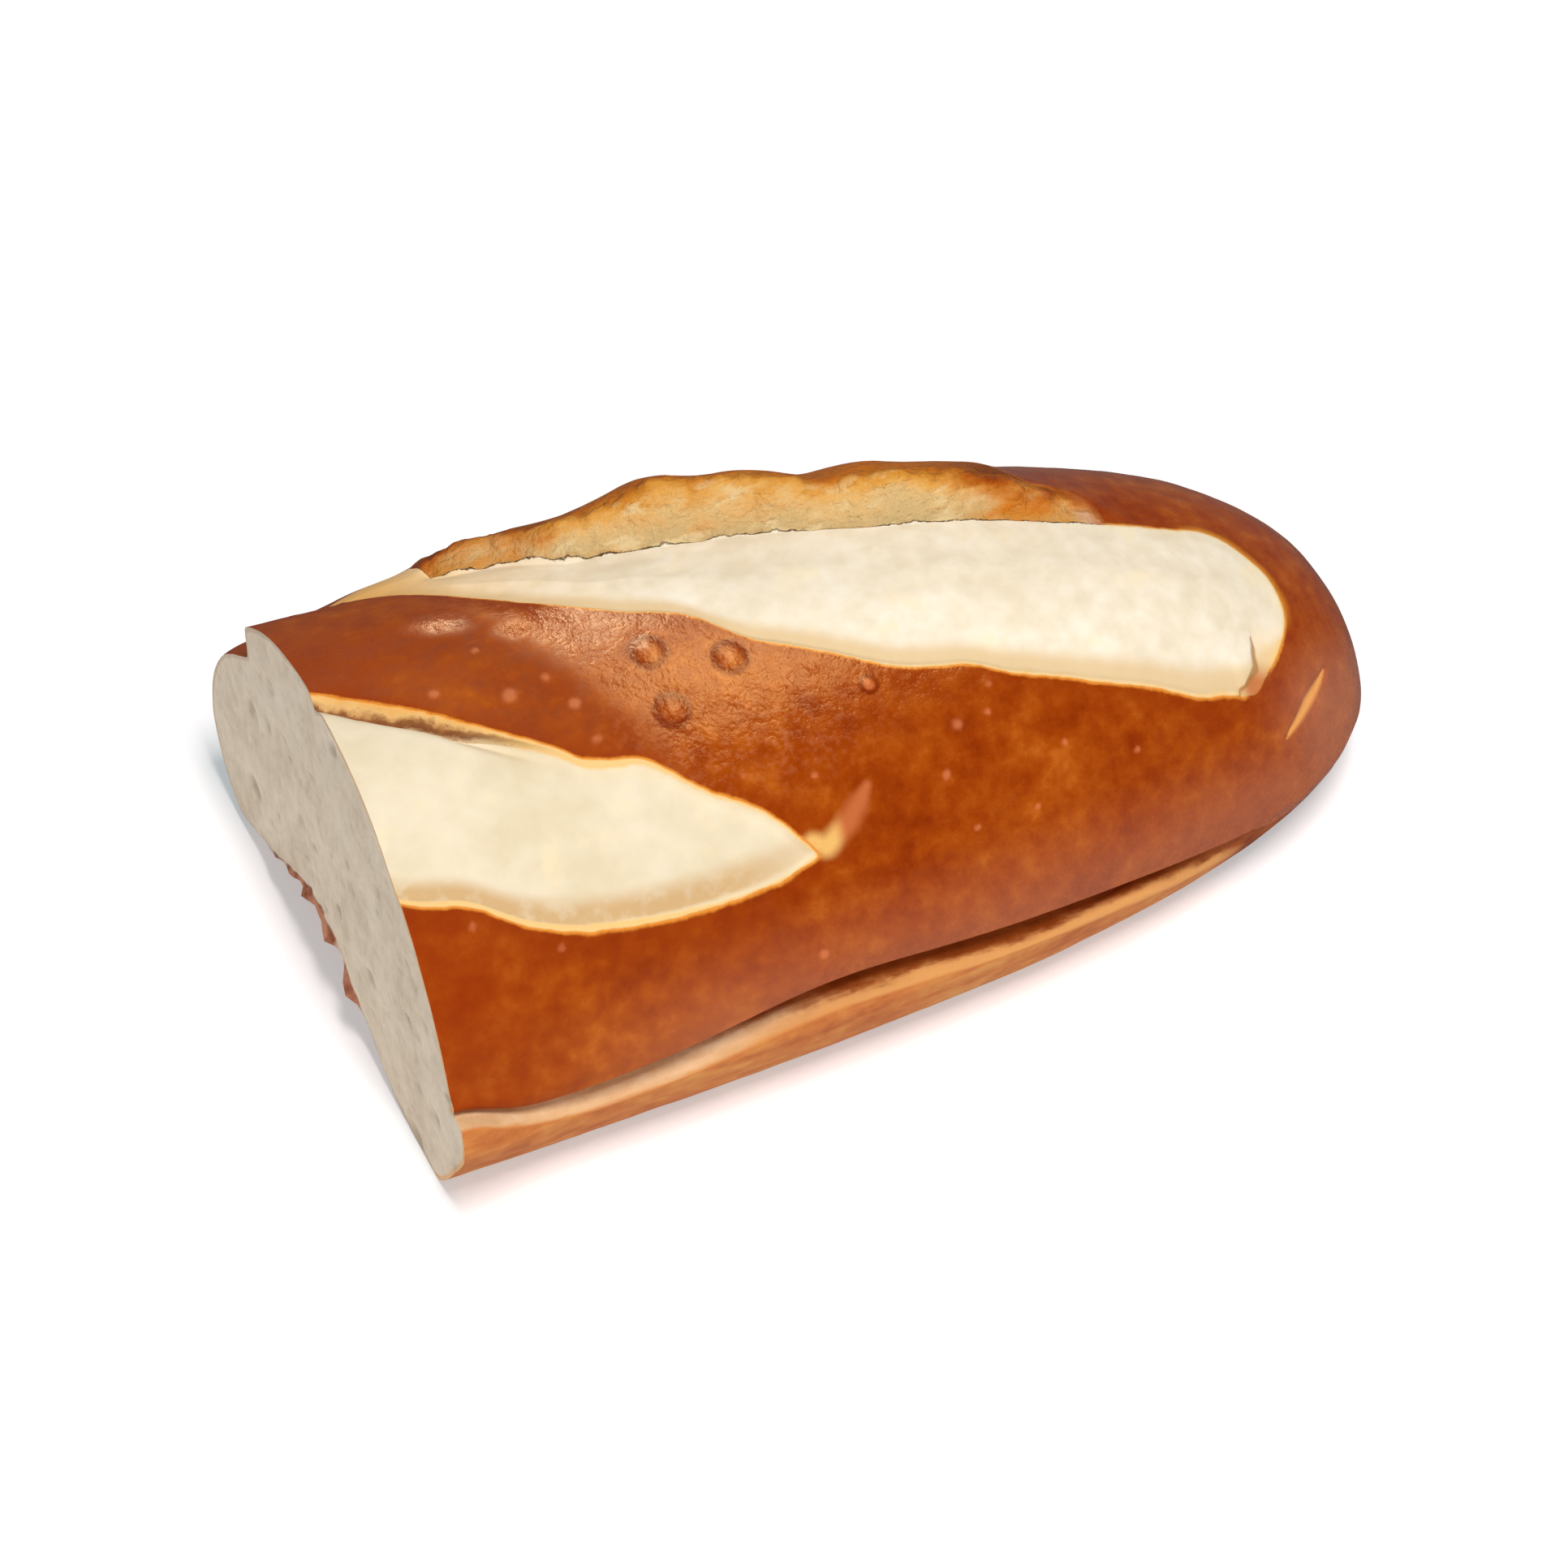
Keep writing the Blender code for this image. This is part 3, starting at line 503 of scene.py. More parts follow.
def short_score(place, medium, fray, swell):
    """Relief of the short score with the crevice under its far edge, and its distances and masks."""
    x, y = place[..., 0], place[..., 1]
    far_edge, near_edge = short_edges(x)
    inside = np.minimum(y - near_edge, SHORT_SLANT * (far_edge - y)) + fray
    inside = np.where(x < SHORT_LENGTH + SHORT_OVERRUN, inside, OUTSIDE)
    split = (1.0 - ramp(x, *(share * SHORT_CREVICE_END for share in CREVICE_FADE))) * (x < SHORT_LENGTH)
    across = hump(far_edge - y, CREVICE_AT, CREVICE_WIDTH)
    across = across * (CREVICE_AT_CUT + (1.0 - CREVICE_AT_CUT) * ramp(x, 0.0, CREVICE_DEEPEN))
    relief = sunk_floor(inside, swell) - split * across * (CREVICE_DEPTH + CREVICE_ROUGH * CRUMBLE * medium)
    near_half = y < 0.5 * (near_edge + far_edge)
    rim = np.minimum(SHORT_RIM_NEAR * (y - near_edge), inside + SHORT_RIM_FAR * near_half)
    band = (far_edge - y) / MM / (1.0 - BAND_NARROWS * ramp(x, *BAND_NARROWS_OVER))
    masks = {"split": np.where(split > 0, band, 9.0), "split_share": split}
    return relief, inside, rim, y - near_edge, masks


def crease_relief(u, turn):
    """Relief of the side crease and of the foot under it, and the crease's shares across and along.

    Under a raised lip, a steep groove eases out over the ledge. The foot swells towards the cut.
    """
    x = LENGTH * u
    lip, outer = crease_turns(u)
    share = (turn - lip) / (outer - lip)
    groove = ramp(share, 0.0, GROOVE_STEEP) * (1.0 - ramp(share, GROOVE_STEEP, 1.0))
    ridge = CREASE_LIP * hump(share, LIP_AT, LIP_SPREAD)
    run_out = 1.0 - ramp(x, *CREASE_END)
    deep = CREASE_DEPTH * (CREASE_CUT_SHARE + (1.0 - CREASE_CUT_SHARE) * ramp(x, 0.0, CREASE_DEEPEN))
    below = ramp(share, FOOT_SWELL_FROM, 1.0) * (1.0 - ramp(turn, outer, outer + FOOT_SWELL_FALL))
    foot_swell = FOOT_SWELL * hump(x, 0.0, FOOT_SWELL_REACH) * below
    return (ridge - deep * groove) * run_out + foot_swell, share, run_out


def skin_marks(place, medium, fine):
    """Relief and masks of the crust's blisters, swellings, specks, pimples, crack and flare.

    A blister is a dome, (1 - away^2)^1.5, inside a shallow moat. The rest are bell curves.
    """
    x, y = place[..., 0], place[..., 1]
    bumps, ring, speck = np.zeros_like(x), np.full_like(x, 3.0), np.zeros_like(x)
    for plan_x, plan_y, radius, height in BLISTERS:
        away = np.linalg.norm(place - on_top(plan_x, plan_y), axis=-1) / (radius * MM)
        away = away + BLISTER_WANDER * medium
        dome = np.clip(1.0 - away**2, 0.0, 1.0) ** 1.5 - MOAT * hump(away, MOAT_AT, MOAT_WIDTH)
        bumps, ring = bumps + height * MM * dome, np.minimum(ring, away)
    for *sizes, height in SWELLS:
        bumps = bumps + height * MM * hump(oval(x, y, *sizes), 0.0, 1.0)
    gloss = ramp(x + GLOSS_SLANT * (y - GLOSS_Y) + GLOSS_WANDER * medium, *GLOSS_FROM)
    for spot in GLOSS_SPOTS:
        gloss = np.maximum(gloss, 1.0 - ramp(oval(x, y, *spot) + SPOT_WANDER * medium, *SPOT_EDGE))
    for plan_x, plan_y, radius in SPECKS:
        away = np.linalg.norm(place - on_top(plan_x, plan_y), axis=-1) / (radius * MM)
        speck = np.maximum(speck, hump(away + SPECK_WANDER * fine, 0.0, 1.0))
    crack, flare = (
        beside_line(place, [(*on_top(plan_x, plan_y) / MM, width) for plan_x, plan_y, width in line])[0]
        for line in (CRACK, FLARE)
    )
    crack, flare = crack + CRACK_WANDER * medium, flare + FLARE_WANDER * medium
    pimple = PIMPLE_HEIGHT * hump(nearest_dots(place, *PIMPLE_DOTS, PIMPLES), 0.0, PIMPLE_REACH)
    bumps = bumps + pimple + SPECK_HEIGHT * speck - CRACK_DEPTH * hump(crack, 0.0, 1.0)
    return bumps, {"ring": ring, "speck": speck, "gloss": gloss, "crack": crack, "flare": flare}


def crags(y):
    """Size of the torn bits of bottom crust along the cut's lower edge."""
    return knocks(y, CRAGS)


def under_arch(y, z):
    """Share of the hollow at the cut: exp(-(distance / width)^power) across the base, fading upwards."""
    away = y - BASE_ARCH_Y
    width, power = (np.where(away < 0, near, far) for near, far in zip(ARCH_NEAR, ARCH_FAR))
    return np.exp(-((np.abs(away) / width) ** power)) * (1.0 - ramp(z, 0.0, HEIGHT / 2))


def finished_loaf(u, turn):
    """Point of the finished surface and the masks that its material reads.

    The smooth loaf moves along its normal by the sum of its reliefs: scores and ear, crease, marks and
    noise of the baked skin. Then its base is hollowed at the cut, where torn bits of crust stand out.
    """
    place = smooth_loaf(u, turn)
    x = place[..., 0]
    coarse, medium, fine = (layered_noise(place, *noise) for noise in (COARSE, MEDIUM, FINE))
    fray = FRAYED * lattice_noise(place, *FRAY)
    swell = FLOOR_SWELL * coarse + FLOOR_PUCKER * medium
    long_parts = long_score(place, coarse, medium, fine, fray, swell)
    long_relief, inside, long_rim, lower, on_wall, long_masks = long_parts
    short_parts = short_score(place, medium, fray, swell)
    short_relief, short_inside, short_rim, short_lower, short_masks = short_parts
    crease, share, run_out = crease_relief(u, turn)
    dough = np.maximum(inside, short_inside)
    skin = (1.0 - ramp(dough, *SKIN_BY_SCORE)) * (1.0 - on_wall) * (1.0 - ramp(share, *SKIN_BY_LIP))
    bumps, skin_masks = skin_marks(place, medium, fine)
    baked = skin * (LUMP * coarse + RIPPLE * medium + bumps * (turn < MARKS_END))
    low = ramp(turn, *LOW_START) * (LOW_LUMP * coarse + RIPPLE * medium) * (1.0 - ramp(turn, *LOW_END))
    lobe = LOBE_SWELL * hump(x, 0.0, LOBE_REACH) * ramp(turn, *LOBE_LOW) * (1.0 - ramp(turn, *LOBE_HIGH))
    upper = ramp(turn, *FADE_FAR) * (1.0 - ramp(turn, *FADE_NEAR))
    relief = upper * (long_relief + short_relief) + lobe + crease + baked + low
    point = place + outward(u, turn) * (relief * (1.0 - ramp(u, *FADE_NOSE)))[..., None]

    arch = BASE_ARCH * hump(x, 0.0, BASE_ARCH_REACH) * under_arch(point[..., 1], point[..., 2])
    point[..., 2] = point[..., 2] + arch
    on_base = ramp(turn % 4.0, *BASE_STARTS) * (1.0 - ramp(turn % 4.0, *BASE_ENDS))
    torn_bits = crags(point[..., 1]) * on_base * hump(point[..., 0], 0.0, CRAG_REACH)
    plain, medium_share, fine_share = CRAG_ROUGH
    rough_bits = torn_bits * (plain + medium_share * medium + fine_share * fine)
    point[..., 0] = point[..., 0] - rough_bits
    point[..., 2] = np.maximum(point[..., 2] - CRAG_HANG * rough_bits, 0.0)
    in_long = inside > short_inside
    masks = {
        "dough": dough / MM,
        "rim": np.where(in_long, long_rim, short_rim) / MM,
        "lower": np.where(in_long, lower, 0.05) / MM,
        "short_lower": np.where(short_inside > inside, short_lower / MM, FAR_AWAY),
        "ledge": np.where(turn > 1.5, share, -9.0),
        "run_out": run_out,
        "crag": torn_bits / MM,
        "along": u + 0 * x,
        "turn": turn + 0 * x,
    }
    return point, masks | long_masks | short_masks | skin_masks


# ---------------------------------------------------------------- pieces
def ring_shares():
    """u of every ring, crowded at the nose: 1 - u = (1 + c) q^p / (q^(p - 1) + c), with q above 0."""
    q = np.arange(1, ALONG + 1) / ALONG
    return 1.0 - (1.0 + NOSE_CROWD) * q**NOSE_POWER / (q ** (NOSE_POWER - 1.0) + NOSE_CROWD)


def skin_turns(u):
    """Turns of one ring of the skin, with grid lines kept on crest, wall's foot, score and lip."""
    held = min(u, HELD_FROM)
    x = np.array(LENGTH * held)
    shrink = taper(u, NEAR_TAPER) / taper(held, NEAR_TAPER)
    far_edge = score_far_edge(x) + far_edge_wander(x)
    near_edge = min(score_near_edge(x) + near_edge_wander(x), far_edge - LEAST_FLOOR)
    back, crest = far_edge + BACK_COLUMN * EAR_RUN, far_edge + CREST_COLUMN * EAR_RUN
    across = turn_at(u, np.array([back, crest, far_edge - FOOT_COLUMN, near_edge]) * shrink)
    lip, outer = crease_turns(held)
    under_lip = lip + GROOVE_STEEP * (outer - lip)
    stops = np.concatenate([SKIN_START, across, [lip - LIP_COLUMN, under_lip]])
    return np.interp(np.linspace(0.0, 1.0, SKIN_AROUND + 1), SKIN_STOPS, stops)


def foot_turns(u):
    """Turns of one ring of the foot: from the groove over the ledge to the base and its far corner."""
    lip, outer = crease_turns(min(u, HELD_FROM))
    under_lip = lip + GROOVE_STEEP * (outer - lip)
    stops = np.array([under_lip, outer, 2.5, 3.5])
    return np.interp(np.linspace(0.0, 1.0, FOOT_AROUND + 1), FOOT_STOPS, stops)


def sheet_faces(rows, columns):
    """Faces of a grid of points, row after row, as quads facing outwards."""
    index = np.arange(rows * columns).reshape(rows, columns)
    corners = [index[:-1, :-1], index[:-1, 1:], index[1:, 1:], index[1:, :-1]]
    return np.stack(corners, axis=-1).reshape(-1, 4)


def fan_faces(pole, ring, turned):
    """Triangles from one point to each step of a ring of points."""
    ends = [ring[1:], ring[:-1]] if turned else [ring[:-1], ring[1:]]
    return np.stack([np.full(len(ring) - 1, pole), *ends], axis=-1)


def make_piece(name, points, quads, triangles, masks, material):
    """One object at the origin from points, faces and per-point masks, smooth shaded."""
    mesh = bpy.data.meshes.new(name)
    mesh.from_pydata((points - ORIGIN).reshape(-1, 3), [], quads.tolist() + triangles.tolist())
    for key, values in masks.items():
        layer = mesh.attributes.new(key, "FLOAT", "POINT")
        layer.data.foreach_set("value", np.ascontiguousarray(values, dtype=np.float32).ravel())
    mesh.shade_smooth()
    mesh.materials.append(material)
    piece = bpy.data.objects.new(name, mesh)
    bpy.context.scene.collection.objects.link(piece)
    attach(piece, "root")
    return piece


def outer_sheet(name, turns_of, material):
    """A sheet of the finished loaf: rings from the nose to the cut, closed by a fan at the nose."""
    shares = ring_shares()
    turns = np.array([turns_of(u) for u in shares])
    points, masks = finished_loaf(np.broadcast_to(shares[:, None], turns.shape), turns)
    nose, nose_masks = finished_loaf(np.ones(1), np.array([1.0]))
    rows, columns = turns.shape
    triangles = fan_faces(rows * columns, np.arange(columns), True)
    everything = np.concatenate([points.reshape(-1, 3), nose])
    masks = {key: np.concatenate([value.ravel(), nose_masks[key].ravel()]) for key, value in masks.items()}
    piece = make_piece(name, everything, sheet_faces(rows, columns), triangles, masks, material)
    return piece, points[-1], turns[-1]


def crumb_sheet(edge, edge_turns, material):
    """The cut face: rings that shrink from the loaf's edge to a point in the crumb's middle.

    Each ring is the edge drawn in by a share. The crumb is pitted by pores, which are dents round
    scattered dots of three sizes, and lies on the cut plane apart from the foot's torn corner.
    """
    middle = np.array([0.0, 0.0, HEIGHT / 2])
    drawn_in = 1.0 - (np.arange(CRUMB_RINGS) / CRUMB_RINGS) ** CRUMB_CROWD
    points = middle + (edge - middle) * drawn_in[:, None, None]
    flat = points * np.array([0.0, 1.0, 1.0])
    depth = np.linalg.norm(edge - middle, axis=-1) * (1.0 - drawn_in[:, None])
    plane = edge[:, 0] * drawn_in[:, None] ** CRUMB_EDGE_FALL
    wander = PORE_WANDER * lattice_noise(flat, *PORE_WANDER_NOISE)[..., None]
    spread = flat * np.array(PORE_STRETCH) + wander
    pores = 0.0
    for n, (size, kept) in enumerate(PORES):
        away = nearest_dots(spread, size * PORE_SPACING, PORE_SEED + n, kept)
        pores = pores + size * PORE_DEPTH * hump(away, 0.0, PORE_REACH)
    rough = CRUMB_ROUGH * layered_noise(flat, *CRUMB_ROUGH_NOISE)
    points[..., 0] = plane + ramp(depth, 0.0, CRUMB_RIM) * (pores + rough)
    rows, columns = points.shape[:2]
    triangles = fan_faces(rows * columns, (rows - 1) * columns + np.arange(columns), False)
    crag = crags(edge[:, 1]) * ((edge_turns > 2.5) & (edge_turns < 3.5))
    masks = {
        "rim": (depth / MM, 20.0),
        "pore": (pores / MM, 0.0),
        "crag": (np.broadcast_to(crag / MM, depth.shape), 0.0),
        "turn": (np.broadcast_to(edge_turns, depth.shape), 1.0),
    }
    masks = {key: np.append(value.ravel(), at_middle) for key, (value, at_middle) in masks.items()}
    everything = np.concatenate([points.reshape(-1, 3), middle[None]])
    return make_piece("crumb", everything, sheet_faces(rows, columns), triangles, masks, material)


# ---------------------------------------------------------------- colours, as sRGB from 0 to 255
# A band is a row of stops: position, red, green and blue
CRUST_BAND = ((0.34, 134, 42, 0), (0.46, 152, 57, 2), (0.56, 166, 72, 7), (0.70, 192, 100, 28))
FRECKLE, CRUST_AT_CUT, CRUST_AT_SCORE = (206, 108, 42), (146, 42, 0), (140, 42, 0)
# Painted light: pale grains where the crust shines, and pinkish veils that paint the floor's reflection on
# its sides and ends
PAINTED_SHEEN_GRAIN, PAINTED_SHEEN_VEIL, PAINTED_FAR_SHEEN = (214, 150, 116), (184, 122, 96), (206, 140, 104)
# Specks and blisters; the light middle of each blister is a painted highlight
SPECK, BLISTER_RING, BLISTER_PAINTED_HIGHLIGHT = (214, 122, 76), (112, 24, 0), (208, 112, 52)
FLARE_PALE, FLARE_DARK, CRACK_CREAM = (240, 188, 108), (196, 106, 58), (236, 164, 92)
UNDER_LIP, GOLDEN_SIDE, RIM_LINE = (186, 98, 46), (214, 132, 34), (226, 140, 52)

FLOOR_BAND = ((0.38, 230, 214, 186), (0.5, 238, 224, 199), (0.62, 244, 233, 213))
SHORT_FLOOR_BAND = ((0.4, 218, 201, 164), (0.6, 228, 212, 180))
FLOOR_LEFT, FLOOR_PATCH, FLOOR_RIM = (250, 206, 142), (246, 224, 176), (244, 220, 178)
FLOOR_GOLD, FLOOR_AT_CUT = (240, 194, 118), (236, 182, 108)
LONG_SHADE, SHORT_SHADE = (222, 190, 140), (206, 168, 118)
# Flap and its browned corner; the fold's colour is painted shade along its crease
FLAP, FLAP_CORNER, FOLD_PAINTED_SHADE = (240, 206, 152), (190, 104, 50), (170, 116, 58)

WALL_BAND = (
    (0.02, 206, 175, 122), (0.14, 218, 183, 126), (0.32, 232, 187, 122), (0.50, 232, 170, 86),
    (0.70, 216, 140, 44), (0.86, 208, 124, 32), (0.98, 190, 102, 26),
)
BAKED_WALL_BAND = (
    (0.04, 212, 142, 56), (0.30, 210, 122, 34), (0.55, 186, 92, 16), (0.80, 156, 62, 8), (1.0, 112, 40, 8),
)
# Pale streaks, and pits darkened as painted shade
WALL_STREAK, WALL_PIT_PAINTED_SHADE = (238, 210, 158), (164, 96, 36)
# Torn band; its dark stops at 0.29 and 0.42 lie over the crevice and paint its shade
TORN_BAND = (
    (0.03, 240, 182, 104), (0.13, 238, 192, 124), (0.21, 208, 158, 100), (0.29, 146, 92, 56),
    (0.42, 120, 72, 44), (0.62, 196, 164, 120),
)
TORN_FLECK = (146, 96, 54)

FOOT_BAND = ((0.38, 186, 100, 48), (0.5, 204, 122, 62), (0.62, 214, 148, 78))
CREAM_BAND = ((0.40, 216, 170, 122), (0.52, 228, 190, 146), (0.64, 238, 210, 174))
TAN_BAND = ((0.40, 160, 98, 56), (0.52, 188, 130, 80), (0.64, 210, 160, 106))
GROOVE_BAND, BROWN_BAND = ((0.4, 136, 60, 18), (0.6, 166, 86, 34)), ((0.4, 132, 52, 14), (0.6, 172, 84, 30))
STRIP_END, FOOT_GOLD, FOOT_BASE, FOOT_CRAG = (190, 108, 62), (222, 158, 92), (176, 92, 58), (150, 84, 60)

CRUMB_BAND = ((0.38, 222, 204, 180), (0.5, 235, 219, 196), (0.62, 243, 228, 206))
# Pores darkened with their depth as painted shade, and the crumb near its rim
PORE_PAINTED_SHADE, CRUMB_NEAR_RIM = (176, 156, 132), (240, 222, 194)
LEFT_RIM, RIGHT_RIM = (160, 112, 92), (240, 190, 136)
TORN_BITS_BAND = ((0.4, 150, 86, 62), (0.6, 204, 142, 112))


def linear(colour):
    """Linear colour with alpha of an sRGB one given from 0 to 255."""
    share = np.array(colour) / 255.0
    value = np.where(share <= 0.04045, share / 12.92, ((share + 0.055) / 1.055) ** 2.4)
    return (*(float(part) for part in value), 1.0)


# ---------------------------------------------------------------- finishes
class Finish:
    """A material with one shader, and short calls that add nodes to it."""

    def __init__(self, name, specular, tint=(1.0, 1.0, 1.0, 1.0)):
        self.material = bpy.data.materials.new(name)
        self.material.use_nodes = True
        self.tree = self.material.node_tree
        self.shader = self.tree.nodes["Principled BSDF"]
        self.shader.inputs["Specular IOR Level"].default_value = specular
        self.shader.inputs["Specular Tint"].default_value = tint
        self.place = self.tree.nodes.new("ShaderNodeTexCoord").outputs["Object"]

    def put(self, socket, value):
        """Set a socket to a number or an sRGB colour, or link an output to it."""
        if isinstance(value, bpy.types.NodeSocket):
            self.tree.links.new(value, socket)
        else:
            socket.default_value = linear(value) if isinstance(value, tuple) else value

    def mask(self, name):
        """A per-point mask of the mesh."""
        node = self.tree.nodes.new("ShaderNodeAttribute")
        node.attribute_name = name
        return node.outputs["Fac"]

    def maths(self, operation, *values):
        """One Math node."""
        node = self.tree.nodes.new("ShaderNodeMath")
        node.operation = operation
        for socket, value in zip(node.inputs, values):
            self.put(socket, value)
        return node.outputs["Value"]

    def product(self, *shares):
        """Product of outputs and numbers."""
        total = shares[0]
        for share in shares[1:]:
            total = self.maths("MULTIPLY", total, share)
        return total

    def weighted(self, *pairs, plus=0.0):
        """A number plus the sum of outputs times weights."""
        total = plus
        for output, weight in pairs:
            total = self.maths("MULTIPLY_ADD", output, weight, total)
        return total

    def fade(self, value, low, high, bottom=0.0, top=1.0):
        """Smooth step from bottom at low to top at high."""
        node = self.tree.nodes.new("ShaderNodeMapRange")
        node.interpolation_type = "SMOOTHSTEP"
        names = ("Value", "From Min", "From Max", "To Min", "To Max")
        for name, given in zip(names, (value, low, high, bottom, top)):
            self.put(node.inputs[name], given)
        return node.outputs["Result"]

    def stretched(self, x, y, z):
        """Object coordinates stretched per axis."""
        node = self.tree.nodes.new("ShaderNodeMapping")
        self.tree.links.new(self.place, node.inputs["Vector"])
        node.inputs["Scale"].default_value = (x, y, z)
        return node.outputs["Vector"]

    def noise(self, size, detail=3.0, roughness=0.55, place=None):
        """Noise with features of that size in metres, from 0 to 1."""
        node = self.tree.nodes.new("ShaderNodeTexNoise")
        self.tree.links.new(place or self.place, node.inputs["Vector"])
        for name, given in zip(("Scale", "Detail", "Roughness"), (1.0 / size, detail, roughness)):
            node.inputs[name].default_value = given
        return node.outputs["Fac"]

    def blend(self, share, first, second, kind="RGBA", sockets=(0, 6, 7, 2)):
        """Colour from first at 0 to second at 1."""
        node = self.tree.nodes.new("ShaderNodeMix")
        node.data_type = kind
        for socket, given in zip(sockets, (share, first, second)):
            self.put(node.inputs[socket], given)
        return node.outputs[sockets[3]]

    def blend_value(self, share, first, second):
        """Number from first at 0 to second at 1."""
        return self.blend(share, first, second, kind="FLOAT", sockets=(0, 2, 3, 0))

    def layers(self, colour, *layers):
        """A colour under layers, each given as its share and colour."""
        for share, over in layers:
            colour = self.blend(share, colour, over)
        return colour

    def colours(self, value, band):
        """Colour of a band's stops."""
        node = self.tree.nodes.new("ShaderNodeValToRGB")
        self.put(node.inputs["Fac"], value)
        stops = node.color_ramp.elements
        while len(stops) < len(band):
            stops.new(1.0)
        for stop, (position, *colour) in zip(stops, band):
            stop.position, stop.color = position, linear(colour)
        return node.outputs["Color"]

    def done(self, colour, roughness, height):
        """Link colour, roughness and a relief height in millimetres to the shader."""
        bump = self.tree.nodes.new("ShaderNodeBump")
        bump.inputs["Distance"].default_value = MM
        self.put(bump.inputs["Height"], height)
        self.put(self.shader.inputs["Base Color"], colour)
        self.put(self.shader.inputs["Roughness"], roughness)
        self.put(self.shader.inputs["Normal"], bump.outputs["Normal"])
        return self.material


def crust_colour(f, broad, mottle, grain, crumb):
    """Chestnut crust: freckles, painted sheen, painted highlights on blisters, marks and golden score rims.
    """
    dough, along, turn, ring = f.mask("dough"), f.mask("along"), f.mask("turn"), f.mask("ring")
    painted_sheen_zone = f.product(f.fade(along, 0.20, 0.28), f.fade(along, 0.52, 0.36), f.fade(turn, 1.50, 1.30))
    side = f.product(f.fade(turn, 1.62, 1.90), f.fade(along, 0.05, 0.30, 0.02, 0.34))
    end = f.product(f.fade(turn, 1.35, 1.65), f.fade(along, 0.82, 0.92, 0.0, 0.45))
    far_end = f.product(f.fade(turn, 0.72, 0.42), f.fade(turn, -0.1, 0.2), f.fade(along, 0.78, 0.90))
    flare = f.blend(f.fade(along, 0.392, 0.408), FLARE_PALE, FLARE_DARK)
    rim_line = f.fade(f.weighted((dough, 1.0), (grain, 0.2), (mottle, 0.2), plus=-0.2), -0.36, -0.06)
    return f.layers(
        f.colours(f.weighted((broad, 0.45), (mottle, 0.45), (grain, 0.10)), CRUST_BAND),
        (f.fade(crumb, 0.58, 0.74, 0.0, 0.15), FRECKLE),
        (f.fade(along, 0.15, 0.03, 0.0, 0.5), CRUST_AT_CUT),
        # painted sheen: pale grains where the top crust shines
        (f.product(painted_sheen_zone, f.fade(grain, 0.48, 0.66, 0.0, 0.14)), PAINTED_SHEEN_GRAIN),
        # painted reflection of the pale floor on the lower side and the round end
        (f.maths("MAXIMUM", side, end), PAINTED_SHEEN_VEIL),
        # painted reflection on the far side near the round end
        (f.product(far_end, f.fade(along, 0.99, 0.95, 0.0, 0.75)), PAINTED_FAR_SHEEN),
        (f.fade(f.mask("speck"), 0.1, 0.9, 0.0, 0.62), SPECK),
        (f.product(f.fade(ring, 0.50, 0.9), f.fade(ring, 1.35, 1.0), 0.75), BLISTER_RING),
        # painted highlight in each blister's middle
        (f.fade(ring, 0.45, 0.0, 0.0, 0.35), BLISTER_PAINTED_HIGHLIGHT),
        (f.fade(dough, -3.0, -0.4, 0.0, 0.45), CRUST_AT_SCORE),
        (f.fade(f.mask("flare"), 1.7, 0.3, 0.0, 0.9), flare),
        (f.fade(f.mask("crack"), 1.2, 0.3, 0.0, 0.95), CRACK_CREAM),
        (f.fade(f.mask("ledge"), -0.05, 0.15, 0.0, 0.6), UNDER_LIP),
        (f.product(f.fade(dough, -1.3, -0.1, 0.0, 0.8), f.mask("golden")), GOLDEN_SIDE),
        (f.product(rim_line, f.fade(f.mask("corner"), 0.9, 0.1)), RIM_LINE),
    )


def torn_band_colour(f, gap, mottle, crumb):
    """Torn band under the short score's far edge: golden at the crust, painted shade in the crevice,
    flecks.
    """
    band = f.weighted((gap, 1.0), (crumb, 1.4), (mottle, 1.8), plus=-1.6)
    flecks = f.product(f.fade(f.noise(0.0009, 3.0), 0.56, 0.66, 0.0, 0.7), f.fade(gap, 0.5, 1.0))
    return f.blend(flecks, f.colours(f.product(band, 0.25), TORN_BAND), TORN_FLECK)


